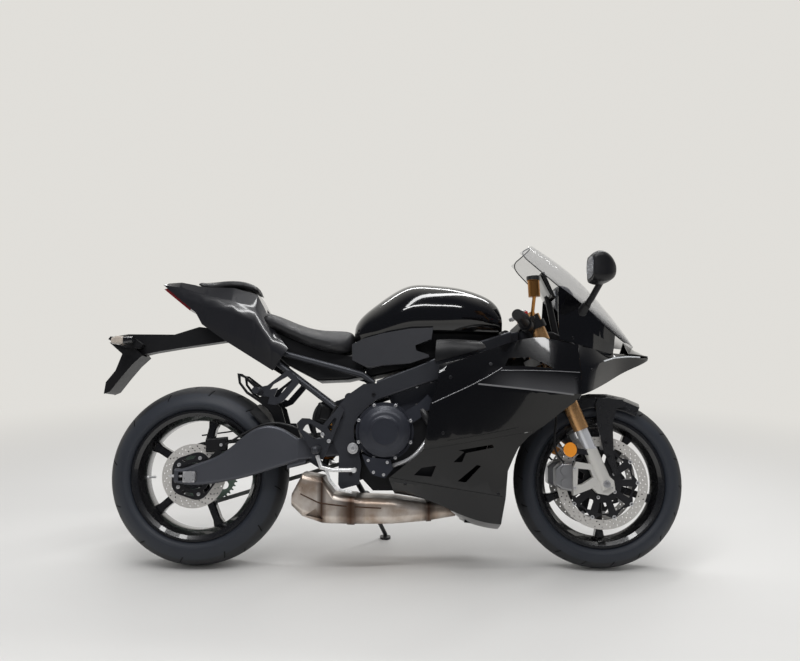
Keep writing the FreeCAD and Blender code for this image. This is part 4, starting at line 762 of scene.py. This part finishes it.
cover("rear_caliper", satin)
screws = skin_screws("rear_caliper", [(-0.616, 0.424), (-0.575, 0.424), (-0.596, 0.400)],
                     0.0055, 0.004, (-1,))
settle(copies(bolt, screws), "rear_caliper_screws", "root", steel)
hose("rear_brake_hose", "root",
     [(-0.600, -0.120, 0.425), (-0.540, -0.128, 0.462), (-0.450, -0.136, 0.506), (-0.360, -0.136, 0.490),
      (-0.300, -0.140, 0.455), (-0.262, -0.146, 0.430)], 0.0036)
hose("shock_hose", "root",
     [(-0.222, -0.040, 0.560), (-0.250, -0.090, 0.580), (-0.290, -0.100, 0.560), (-0.305, -0.098, 0.500),
      (-0.290, -0.095, 0.450)], 0.006)

# Drive chain and sprocket
# Steel roller chain on the left side, round a hardened steel sprocket with a pale green coating,
# which is bolted to the rear hub.

chain_steel = Finish("chain_steel", Base_Color=(0.22, 0.23, 0.22), Metallic=1.0)
chain_steel.wear(0.34, 0.50, 200.0)
cover("drive_chain", chain_steel)
sage = Finish("green_steel", Base_Color=(0.22, 0.30, 0.25), Metallic=0.5)
sage.wear(0.34, 0.46, 60.0)
cover("rear_sprocket", sage)

# Side stand
# Steel leg with a flat foot, painted black, hinged on a lug at the left of the frame. The
# motorcycle leans on it.

stand_black = Finish("stand_black", Base_Color=(0.012, 0.012, 0.013))
stand_black.wear(0.30, 0.44, 40.0)
cover("side_stand", stand_black)

# Engine
# A cast block with pressed and domed covers in bluish black paint, closed by steel screws. The
# cylinder head and throttle bodies stand above it between the frame's beams, and a regulator
# behind, with hoses and a loom.

engine_paint = Finish("engine_paint", Metallic=0.3)
cloud = engine_paint.noise(10.0)
engine_paint.set("Base Color", engine_paint.blend(cloud, (0.020, 0.022, 0.030), (0.034, 0.037, 0.049)))
engine_paint.wear(0.30, 0.42, 30.0)
engine_paint.bump(engine_paint.noise(1300.0, 3.0), 0.2, 0.0003)
cover("engine_covers", engine_paint)
cover("engine_block", satin)
cover("airbox", satin)
fins = Finish("radiator_core", Base_Color=(0.02, 0.02, 0.022), Metallic=0.6, Roughness=0.45)
fins.bump((fins.axis("Z") * 1800.0).math("SINE") + (fins.axis("Y") * 500.0).math("SINE"), 0.8, 0.002)
cover("radiator", fins)
CLUTCH_MIDDLE = Vector((-0.050, 0.0, 0.474))
CLUTCH_SCREW_R = 0.095
CLUTCH_FLANGE_Y = -0.1655
LOW_COVER_Y = -0.1855
cover_bolts = ringed(CLUTCH_MIDDLE, CLUTCH_FLANGE_Y, -1, 8, 0.5, CLUTCH_SCREW_R, 0.0058, 0.006)
for x, z in ((-0.104, 0.377), (-0.040, 0.371), (-0.052, 0.330), (-0.086, 0.338)):
    cover_bolts.append(stand_on((x, LOW_COVER_Y, z), (0, -1, 0), 0.0052, 0.005))
settle(copies(bolt, cover_bolts), "engine_cover_screws", "root", steel)

hose("cooling_hose", "root",
     [(0.060, -0.140, 0.560), (0.085, -0.165, 0.540), (0.100, -0.172, 0.500), (0.135, -0.165, 0.470),
      (0.190, -0.140, 0.460)], 0.014)
hose("oil_pipe", "root",
     [(-0.020, -0.150, 0.360), (0.030, -0.172, 0.372), (0.080, -0.172, 0.420), (0.110, -0.150, 0.470)],
     0.008, steel)
hose("wiring_loom", "root",
     [(-0.215, -0.140, 0.560), (-0.240, -0.135, 0.520), (-0.250, -0.125, 0.470), (-0.235, -0.120, 0.430)],
     0.0055)

CAST_ROUND = 0.008
CAST_RIM = 0.010
CAST_SINK = 0.005


def casting(name, middle, size, tilt, finish):
    """Cast box with rounded edges and a sunk panel on each side, turned about its cross axis."""
    alone()
    bpy.ops.mesh.primitive_cube_add(size=1, location=middle, rotation=(0, tilt, 0), scale=size)
    piece = bpy.context.object
    bpy.ops.object.transform_apply(location=False, rotation=False, scale=True)
    bpy.ops.object.mode_set(mode="EDIT")
    bpy.ops.mesh.select_all(action="SELECT")
    bpy.ops.mesh.bevel(offset=CAST_ROUND, segments=3)
    for heading in (-1, 1):
        pick_faces(lambda middle, normal: normal.y * heading > 0.95)
        bpy.ops.mesh.inset(thickness=CAST_RIM)
        bpy.ops.mesh.extrude_region_move(TRANSFORM_OT_translate={"value": (0, -CAST_SINK * heading, 0)})
    bpy.ops.object.mode_set(mode="OBJECT")
    return settle(piece, name, "root", finish)


HEAD_TILT = -0.35
casting("cylinder_head", (0.078, 0.0, 0.590), (0.215, 0.230, 0.125), HEAD_TILT, engine_paint)
casting("throttle_bodies", (0.010, 0.0, 0.625), (0.110, 0.200, 0.060), HEAD_TILT, satin)
casting("regulator_box", (-0.262, -0.088, 0.535), (0.060, 0.040, 0.070), 0.2, satin)
HEAD_SIDE_Y = -0.114
head_screws = []
for x, z in ((0.060, 0.630), (0.110, 0.648), (0.160, 0.640), (0.080, 0.575), (0.150, 0.580)):
    head_screws.append(stand_on((x, HEAD_SIDE_Y, z), (0, -1, 0), 0.0055, 0.006))
settle(copies(bolt, head_screws), "cylinder_head_screws", "root", steel)

# Exhaust
# Welded stainless steel under the engine, straw and brown where welding and heat have tinted it.
# A weld runs along the muffler's right side.

exhaust = Finish("exhaust_steel", Metallic=0.65)
run = exhaust.axis("X")
tint = run.above(0.19, 0.03) * 0.8
for weld_x, sharp in ((-0.163, 20.0), (0.103, 40.0), (-0.262, 60.0)):
    burn = 1 - ((run - weld_x).math("ABSOLUTE") * sharp).math("MINIMUM", 1.0)
    tint = tint.math("MAXIMUM", burn)
straw = exhaust.noise(16.0, 4.0).above(0.5, 0.25)
base = exhaust.blend(straw, (0.72, 0.66, 0.60), (0.38, 0.28, 0.21))
exhaust.set("Base Color", exhaust.blend(tint.math("POWER", 0.7), base, (0.075, 0.038, 0.022)))
exhaust.wear(0.22, 0.42, 24.0)
exhaust.bump(exhaust.noise(260.0, 3.0), 0.15, 0.0008)
cover("exhaust_header", exhaust)
cover("muffler", exhaust)

WELT_STEPS = (0.0, 0.34, 0.67)
WELT_STANDS = 0.3


def welt(name, node, route, radius, finish, sides=(-1, 1)):
    """Fine round line laid on a piece's skin along places given along and up."""
    lines = []
    for side in sides:
        found = []
        for (x, z), (to_x, to_z) in zip(route, route[1:]):
            for share in WELT_STEPS:
                found.append(skin_point(node, x + (to_x - x) * share, z + (to_z - z) * share, side))
        found.append(skin_point(node, route[-1][0], route[-1][1], side))
        spots = [point + facing * radius * WELT_STANDS for point, facing in filter(None, found)]
        lines.append(hose(name, "root", spots, radius, finish))
    return joined(lines)


weld_brown = Finish("weld_brown", Base_Color=(0.10, 0.055, 0.035), Metallic=0.6)
weld_brown.wear(0.35, 0.55, 200.0)
weld_brown.bump((weld_brown.axis("X") * 1800.0).math("SINE"), 0.6, 0.0008)
welt("muffler_weld", "muffler", [(-0.335, 0.262), (-0.270, 0.232), (-0.180, 0.222), (-0.060, 0.216)],
     0.0022, weld_brown, (-1,))

# Painted bodywork
# Injection moulded panels, screwed to their stays, and a pressed steel tank, in gloss black under
# a clear coat. The side panel carries a pale stripe that fades upward, a decal under the coat.

paint = Finish("gloss_black", Base_Color=(0.0020, 0.0020, 0.0026), Coat_Weight=1.0, Specular_IOR_Level=0.2)
paint.wear(0.10, 0.16, 8.0)
paint.set("Coat Roughness", 0.02)
cover("fuel_tank", paint)
cover("nose_cowl", paint)

STRIPE_X = 0.257
STRIPE_Z = 0.634
STRIPE_SLOPE = -0.0976
FADE_REACH = 0.07
SIDE_COAT_IOR = 1.36
side_paint = Finish("side_black", Coat_Weight=1.0, Specular_IOR_Level=0.2)
side_paint.wear(0.12, 0.20, 8.0)
side_paint.set("Coat Roughness", 0.03)
side_paint.set("Coat IOR", SIDE_COAT_IOR)
run = side_paint.axis("X")
over = side_paint.axis("Z") - ((run - STRIPE_X) * STRIPE_SLOPE + STRIPE_Z)
line = over.within(-0.0032, 0.0022, 0.0006) * run.within(0.262, 0.588, 0.003)
rest = (1 - over * (1 / FADE_REACH)).math("MAXIMUM", 0.0)
fade = over.above(0.002, 0.0005) * rest * run.above(0.34, 0.08) * (1 - run.above(0.60, 0.01))
shade = side_paint.blend(fade * 0.6, (0.0025, 0.0025, 0.003), (0.10, 0.10, 0.105))
side_paint.set("Base Color", side_paint.blend(line, shade, (0.16, 0.16, 0.165)))
cover("side_fairings", side_paint)

low_paint = Finish("lower_black", Base_Color=(0.003, 0.003, 0.0035), Coat_Weight=1.0)
low_paint.set("Specular IOR Level", 0.2)
low_paint.set("Coat IOR", SIDE_COAT_IOR)
low_paint.wear(0.14, 0.22, 8.0)
cover("lower_cowls", low_paint)
matte = Finish("matte_grey", Base_Color=(0.020, 0.021, 0.026), Specular_IOR_Level=0.6)
matte.wear(0.42, 0.54, 20.0)
matte.bump(matte.noise(1800.0, 2.0), 0.15, 0.0002)
cover("tank_side_covers", matte)
cover("fairing_stay", satin)

screws = skin_screws("side_fairings", [(0.170, 0.655), (0.305, 0.700), (0.145, 0.470), (0.600, 0.655)],
                     0.006, 0.003)
screws += skin_screws("lower_cowls", [(0.020, 0.300), (0.180, 0.440), (0.330, 0.270), (0.300, 0.455)],
                      0.006, 0.003)
screws += skin_screws("nose_cowl", [(0.660, 0.690), (0.600, 0.800)], 0.005, 0.003)
settle(copies(bolt, screws), "fairing_screws", "root", dark_screw)
screws = skin_screws("tank_side_covers", [(-0.058, 0.671), (0.060, 0.690)], 0.006, 0.003)
screws += skin_screws("main_frame", [(-0.200, 0.520), (-0.165, 0.330), (-0.090, 0.600)], 0.007, 0.005)
settle(copies(bolt, screws), "frame_screws", "root", dark_screw)

SEAM_R = 0.0012
# The pale grey lines on the side panel's diagonal ridge and top lip are painted highlights: the bright
# reflections along these gloss black edges.
painted_edge_highlight = Finish("panel_edge_highlight", Base_Color=(0.22, 0.22, 0.23), Metallic=0.4)
painted_edge_highlight.wear(0.20, 0.32, 200.0)
seam_dark = Finish("panel_seam", Base_Color=(0.001, 0.001, 0.001), Roughness=0.8)
seam_dark.bump(seam_dark.noise(900.0), 0.1, 0.0002)
welt("side_panel_ridge_highlights", "side_fairings", [(0.108, 0.568), (0.230, 0.624), (0.298, 0.660), (0.343, 0.688)],
     0.0014, painted_edge_highlight)
welt("side_panel_lip_highlights", "side_fairings", [(0.338, 0.679), (0.440, 0.680), (0.540, 0.679), (0.612, 0.677)],
     SEAM_R, painted_edge_highlight)
welt("fairing_seams", "side_fairings", [(0.161, 0.446), (0.280, 0.466), (0.397, 0.491)], SEAM_R, seam_dark)
welt("lower_cowl_seams", "lower_cowls", [(-0.030, 0.322), (0.150, 0.292), (0.345, 0.262)], SEAM_R, seam_dark)

PANEL_WALL = 0.003


def lofted(rows, thickness):
    """A sheet between rows of points, given a wall and a fine rounded edge."""
    alone()
    bpy.ops.mesh.primitive_grid_add(x_subdivisions=len(rows[0]) - 1, y_subdivisions=len(rows) - 1, size=1)
    piece = bpy.context.object
    for point, spot in zip(piece.data.vertices, [spot for row in rows for spot in row]):
        point.co = spot
    wall = piece.modifiers.new("wall", "SOLIDIFY")
    wall.thickness = thickness
    wall.offset = 0.0
    bpy.ops.object.modifier_apply(modifier="wall")
    round_edge = piece.modifiers.new("round", "BEVEL")
    round_edge.width = thickness * 0.25
    round_edge.segments = 2
    round_edge.limit_method = "ANGLE"
    bpy.ops.object.modifier_apply(modifier="round")
    bpy.ops.object.mode_set(mode="EDIT")
    bpy.ops.mesh.select_all(action="SELECT")
    bpy.ops.mesh.normals_make_consistent(inside=False)
    bpy.ops.object.mode_set(mode="OBJECT")
    return piece


def on_both_sides(name, rows, finish):
    """A lofted panel on the right and its mirror image on the left, as one piece."""
    halves = []
    for side in (-1, 1):
        halves.append(lofted([[(x, side * y, z) for x, y, z in row] for row in rows], PANEL_WALL))
    return settle(joined(halves), name, "root", finish)


on_both_sides("fairing_upper_panels",
              [[(0.128, 0.204, 0.640), (0.160, 0.206, 0.672), (0.250, 0.204, 0.694), (0.340, 0.198, 0.712),
                (0.420, 0.192, 0.740), (0.462, 0.188, 0.765)],
               [(0.132, 0.203, 0.668), (0.162, 0.203, 0.690), (0.245, 0.198, 0.712), (0.345, 0.190, 0.742),
                (0.412, 0.184, 0.766), (0.458, 0.180, 0.783)],
               [(0.135, 0.192, 0.700), (0.170, 0.186, 0.712), (0.240, 0.178, 0.732), (0.350, 0.168, 0.770),
                (0.407, 0.164, 0.787), (0.455, 0.162, 0.796)]], paint)
on_both_sides("tank_front_covers",
              [[(0.120, 0.168, 0.712), (0.180, 0.170, 0.728), (0.240, 0.164, 0.745), (0.300, 0.158, 0.762)],
               [(0.122, 0.172, 0.750), (0.180, 0.168, 0.762), (0.235, 0.160, 0.770), (0.292, 0.152, 0.776)],
               [(0.126, 0.156, 0.790), (0.180, 0.152, 0.794), (0.230, 0.146, 0.792), (0.280, 0.140, 0.788)]],
              satin)

# Screen
# Blown clear acrylic, smoked dark along its foot where it meets the nose, with a fine black
# moulding round its edge.

SMOKE_SLOPE = 0.72
SMOKE_EDGE = 1.385
screen = Finish("smoked_clear", Roughness=0.03, IOR=1.45)
foot = 1 - (screen.axis("Z") + screen.axis("X") * SMOKE_SLOPE).above(SMOKE_EDGE, 0.03)
screen.set("Base Color", screen.blend(foot, (0.20, 0.205, 0.22), (0.004, 0.004, 0.005)))
screen.set("Alpha", foot * 0.65 + 0.16)
cover("windscreen", screen)

trim = Finish("screen_trim", Base_Color=(0.006, 0.006, 0.007), Roughness=0.3)
trim.bump(trim.noise(900.0), 0.1, 0.0002)
edge_run = [(0.797, 0.090, 0.7946), (0.742, 0.126, 0.826), (0.650, 0.140, 0.905), (0.560, 0.136, 0.985),
            (0.490, 0.124, 1.050), (0.428, 0.104, 1.112), (0.470, 0.060, 1.143), (0.487, 0.0, 1.156)]
edge_run += [(x, -y, z) for x, y, z in reversed(edge_run[:-1])]
hose("screen_edge", "root", edge_run, 0.0020, trim)

# Seats
# Foam pads covered in black vinyl, one for the rider and a smaller one for a passenger, stretched
# over the pan and stapled under its edge.

vinyl = Finish("seat_cover", Base_Color=(0.013, 0.013, 0.015))
vinyl.wear(0.44, 0.58, 40.0)
vinyl.bump(vinyl.noise(900.0, 5.0, 0.6), 0.35, 0.0006)
DRAWN_IN = 0.002
SWELL = 0.006
CELL = 0.006
PRESSURE = 4.0
CLOTH_FRAMES = 20


def blow_up(piece):
    """Simulates a cover under pressure, and keeps each point within the swell of its old place."""
    before = [point.co.copy() for point in piece.data.vertices]
    cloth = piece.modifiers.new("cloth", "CLOTH")
    cloth.settings.quality = 5
    cloth.settings.use_pressure = True
    cloth.settings.uniform_pressure_force = PRESSURE
    cloth.settings.effector_weights.gravity = 0.0
    for count in range(1, CLOTH_FRAMES + 1):
        scene.frame_set(count)
    bpy.ops.object.modifier_apply(modifier="cloth")
    scene.frame_set(1)
    for point, old in zip(piece.data.vertices, before):
        step = point.co - old
        if step.length > SWELL:
            point.co = old + step * (SWELL / step.length)


def pad(name, node, finish):
    """The construction solid, drawn in a little, then blown up as a cover full of foam."""
    piece = bpy.data.objects.new(name, nodes[node].data.copy())
    scene.collection.objects.link(piece)
    take(piece)
    bpy.ops.object.mode_set(mode="EDIT")
    bpy.ops.mesh.select_all(action="SELECT")
    bpy.ops.mesh.remove_doubles(threshold=0.00002)
    bpy.ops.mesh.normals_make_consistent(inside=False)
    bpy.ops.transform.shrink_fatten(value=-DRAWN_IN)
    bpy.ops.object.mode_set(mode="OBJECT")
    remesh = piece.modifiers.new("remesh", "REMESH")
    remesh.mode = "VOXEL"
    remesh.voxel_size = CELL
    bpy.ops.object.modifier_apply(modifier="remesh")
    smooth = piece.modifiers.new("smooth", "SMOOTH")
    smooth.factor = 0.5
    smooth.iterations = 6
    bpy.ops.object.modifier_apply(modifier="smooth")
    blow_up(piece)
    finer = piece.modifiers.new("finer", "SUBSURF")
    finer.levels = 1
    finer.render_levels = 1
    bpy.ops.object.modifier_apply(modifier="finer")
    piece.data.materials.clear()
    piece.data.materials.append(finish.material)
    bpy.ops.object.shade_smooth()
    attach(piece, "root")
    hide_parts(node)


pad("rider_seat_pad", "seat", vinyl)
pad("pillion_seat_pad", "pillion_seat", vinyl)

# Tail, lamps and plate hanger
# Gloss black tail with satin lower sides over a moulded tray, a dark red lamp in its end, and a
# moulded hanger and guards.

GLOSS_SLOPE = 0.42
GLOSS_EDGE = 0.560
tail = Finish("tail_black", Base_Color=(0.008, 0.008, 0.010), Specular_IOR_Level=0.4)
tail.set("Coat Roughness", 0.12)
glossy = (tail.axis("Z") + tail.axis("X") * GLOSS_SLOPE).above(GLOSS_EDGE, 0.004)
tail.set("Coat Weight", glossy)
tail.set("Roughness", (1 - glossy) * 0.14 + 0.30)
tail.bump(tail.noise(1500.0, 2.0) * (1 - glossy), 0.12, 0.0002)
cover("tail_cowl", tail)
for name in ("undertray", "rear_guards", "plate_bracket"):
    cover(name, satin)
LAMP_END_X = -0.92
POD_END_X = -0.966
lens = Finish("lamp_lens", Roughness=0.10, Coat_Weight=1.0)
red = lens.axis("X").above(LAMP_END_X, 0.002)
pod = lens.axis("X").within(POD_END_X, LAMP_END_X, 0.0006)
lens_color = lens.blend(red, (0.42, 0.37, 0.32), (0.13, 0.008, 0.010))
lens.set("Base Color", lens.blend(pod, lens_color, (0.006, 0.006, 0.007)))
lens.bump((lens.axis("Y") * 1200.0).math("SINE"), 0.3, 0.0005)
cover("rear_lamps", lens)

# Mirrors
# Black moulded heads on stalks at the nose, each with convex silvered glass set into its rear
# face.

cover("mirrors", satin)
MIRROR_MIDDLE = Vector((0.500, 0.300, 1.018))
GLASS_HALF_H = 0.036
GLASS_HALF_W = 0.044
glass = Finish("mirror_glass", Base_Color=(0.16, 0.17, 0.20), Metallic=1.0, Roughness=0.04)
glass.bump(glass.noise(4.0), 0.05, 0.0005)
faces = []
for side in (-1, 1):
    start = BIKE @ Vector((MIRROR_MIDDLE.x, side * MIRROR_MIDDLE.y, MIRROR_MIDDLE.z))
    spot = nodes["mirrors"].ray_cast(start, BIKE.to_3x3() @ Vector((1, 0, 0)))[1]
    alone()
    bpy.ops.mesh.primitive_cylinder_add(vertices=48, radius=1, depth=0.003)
    plate = bpy.context.object
    for point in plate.data.vertices:
        out = max(abs(point.co.x), abs(point.co.y)) ** 0.35
        point.co = (point.co.x * GLASS_HALF_H / out, point.co.y * GLASS_HALF_W / out, point.co.z)
    bpy.ops.object.mode_set(mode="EDIT")
    pick_faces(lambda middle, normal: normal.z > 0.9)
    bpy.ops.mesh.inset(thickness=0.002)
    bpy.ops.mesh.extrude_region_move(TRANSFORM_OT_translate={"value": (0, 0, -0.0006)})
    bpy.ops.object.mode_set(mode="OBJECT")
    stood = stand_on(BIKE.inverted() @ spot, (-1, 0, 0), 1.0, 1.0)
    plate.data.transform(stood @ Matrix.Rotation(math.pi / 2, 4, "Z"))
    plate.matrix_world = Matrix()
    faces.append(plate)
settle(joined(faces), "mirror_glass", "root", glass)

# Nose lamps
# A pale strip lamp along each side of the nose and a round lens in the middle intake, in a
# housing of black plastic.

cover("headlamp", satin)
lamp_white = Finish("strip_lamp", Base_Color=(0.75, 0.78, 0.80), Roughness=0.1, Coat_Weight=1.0)
lamp_white.bump((lamp_white.axis("X") * 1500.0).math("SINE"), 0.3, 0.0004)
welt("nose_strip_lamps", "nose_cowl", [(0.712, 0.722), (0.760, 0.738), (0.820, 0.746), (0.870, 0.746)],
     0.0026, lamp_white)
lens_places = [stand_on((0.764, 0.0, 0.719), (1, 0, 0), 0.017, 0.010)]
settle(copies(bolt, lens_places), "nose_lamp_lens", "root", lamp_white)

# Cockpit
# Clip-on bars with ribbed rubber grips and a red stop button, fork caps, cables down to the
# steering head, the display's glass, and the brake fluid cup with its gold base and black lid.

cover("handlebars", satin)
cover("display", satin)
FACE_HALF_W = 0.072
FACE_FOOT = (0.5435, 0.966)
FACE_TOP = (0.507, 1.040)
display_glass = Finish("display_glass", Base_Color=(0.006, 0.008, 0.012), Roughness=0.06, Coat_Weight=1.0)
display_glass.bump(display_glass.noise(3.0), 0.03, 0.0004)
face_rows = [[(x, y, z) for y in (-FACE_HALF_W, -0.03, 0.03, FACE_HALF_W)] for x, z in (FACE_FOOT, FACE_TOP)]
settle(lofted(face_rows, 0.002), "display_face", "root", display_glass)
rubber_grip = Finish("grip_rubber", Base_Color=(0.010, 0.010, 0.011), Roughness=0.7)
rubber_grip.bump((rubber_grip.axis("Y") * 1500.0).math("SINE"), 0.7, 0.0010)
button_red = Finish("button_red", Base_Color=(0.45, 0.02, 0.02), Roughness=0.35)
button_red.bump(button_red.noise(300.0), 0.1, 0.0002)
BAR_INNER = Vector((0.4525, 0.128, 0.8625))
BAR_OUTER = Vector((0.380, 0.331, 0.853))
RIB_R = 0.0186
RIB_W = 0.0045
ring_places = []
for side in (-1, 1):
    mirror = Vector((1, side, 1))
    inner = BAR_INNER * mirror
    bar = BAR_OUTER * mirror - inner
    for share in (0.435, 0.50, 0.56, 0.62, 0.68, 0.74, 0.80, 0.86, 0.92, 0.97):
        ring_places.append(stand_on(inner + bar * share, bar.normalized(), RIB_R, RIB_W))
settle(copies(bolt, ring_places), "grip_ribs", "steering", rubber_grip)
button = [stand_on((0.437, -0.175, 0.880), (-0.3, -0.2, 1.0), 0.006, 0.010)]
settle(copies(bolt, button), "stop_button", "steering", button_red)
FORK_HEADING = (-0.384, 0, 0.923)
top_places = [stand_on((0.4375, y, 0.898), FORK_HEADING, 0.011, 0.006) for y in (-0.105, 0.105)]
top_places.append(stand_on((0.4225, 0.0, 0.886), FORK_HEADING, 0.020, 0.012))
settle(copies(bolt, top_places), "fork_top_caps", "steering", steel)
for side, label in ((-1, "right"), (1, "left")):
    hose("bar_cable_" + label, "steering",
         [(0.445, side * 0.200, 0.866), (0.460, side * 0.176, 0.860), (0.466, side * 0.138, 0.834),
          (0.466, side * 0.092, 0.796), (0.466, side * 0.050, 0.745)], 0.0036)

LID_Z = 0.985
cup = Finish("reservoir", Roughness=0.3)
lid = cup.axis("Z").above(LID_Z, 0.0005)
cup.set("Base Color", cup.blend(lid, (0.42, 0.20, 0.06), (0.01, 0.01, 0.01)))
cup.set("Metallic", 1 - lid)
cup.bump((cup.axis("Z") * 1500.0).math("SINE") * lid, 0.3, 0.0005)
cover("brake_reservoir", cup)

# Foot controls
# Forged and polished aluminium brake pedal and gear lever with its rod, and charcoal heel plates
# that steel screws hold to the frame.

cover("footrests", charcoal)
lever = Finish("lever_silver", Base_Color=(0.74, 0.74, 0.74), Metallic=0.35)
lever.wear(0.22, 0.34, 60.0)
cover("foot_controls", lever)
hose("gear_linkage", "root", [(-0.205, 0.165, 0.350), (-0.150, 0.168, 0.400), (-0.090, 0.160, 0.440)],
     0.0045, steel)
screws = skin_screws("footrests", [(-0.303, 0.484), (-0.180, 0.400), (-0.262, 0.462), (-0.240, 0.440),
                                   (-0.220, 0.430), (-0.285, 0.478)], 0.007, 0.005)
settle(copies(bolt, screws), "heel_plate_screws", "root", steel)
bpy.data.objects.remove(bolt)
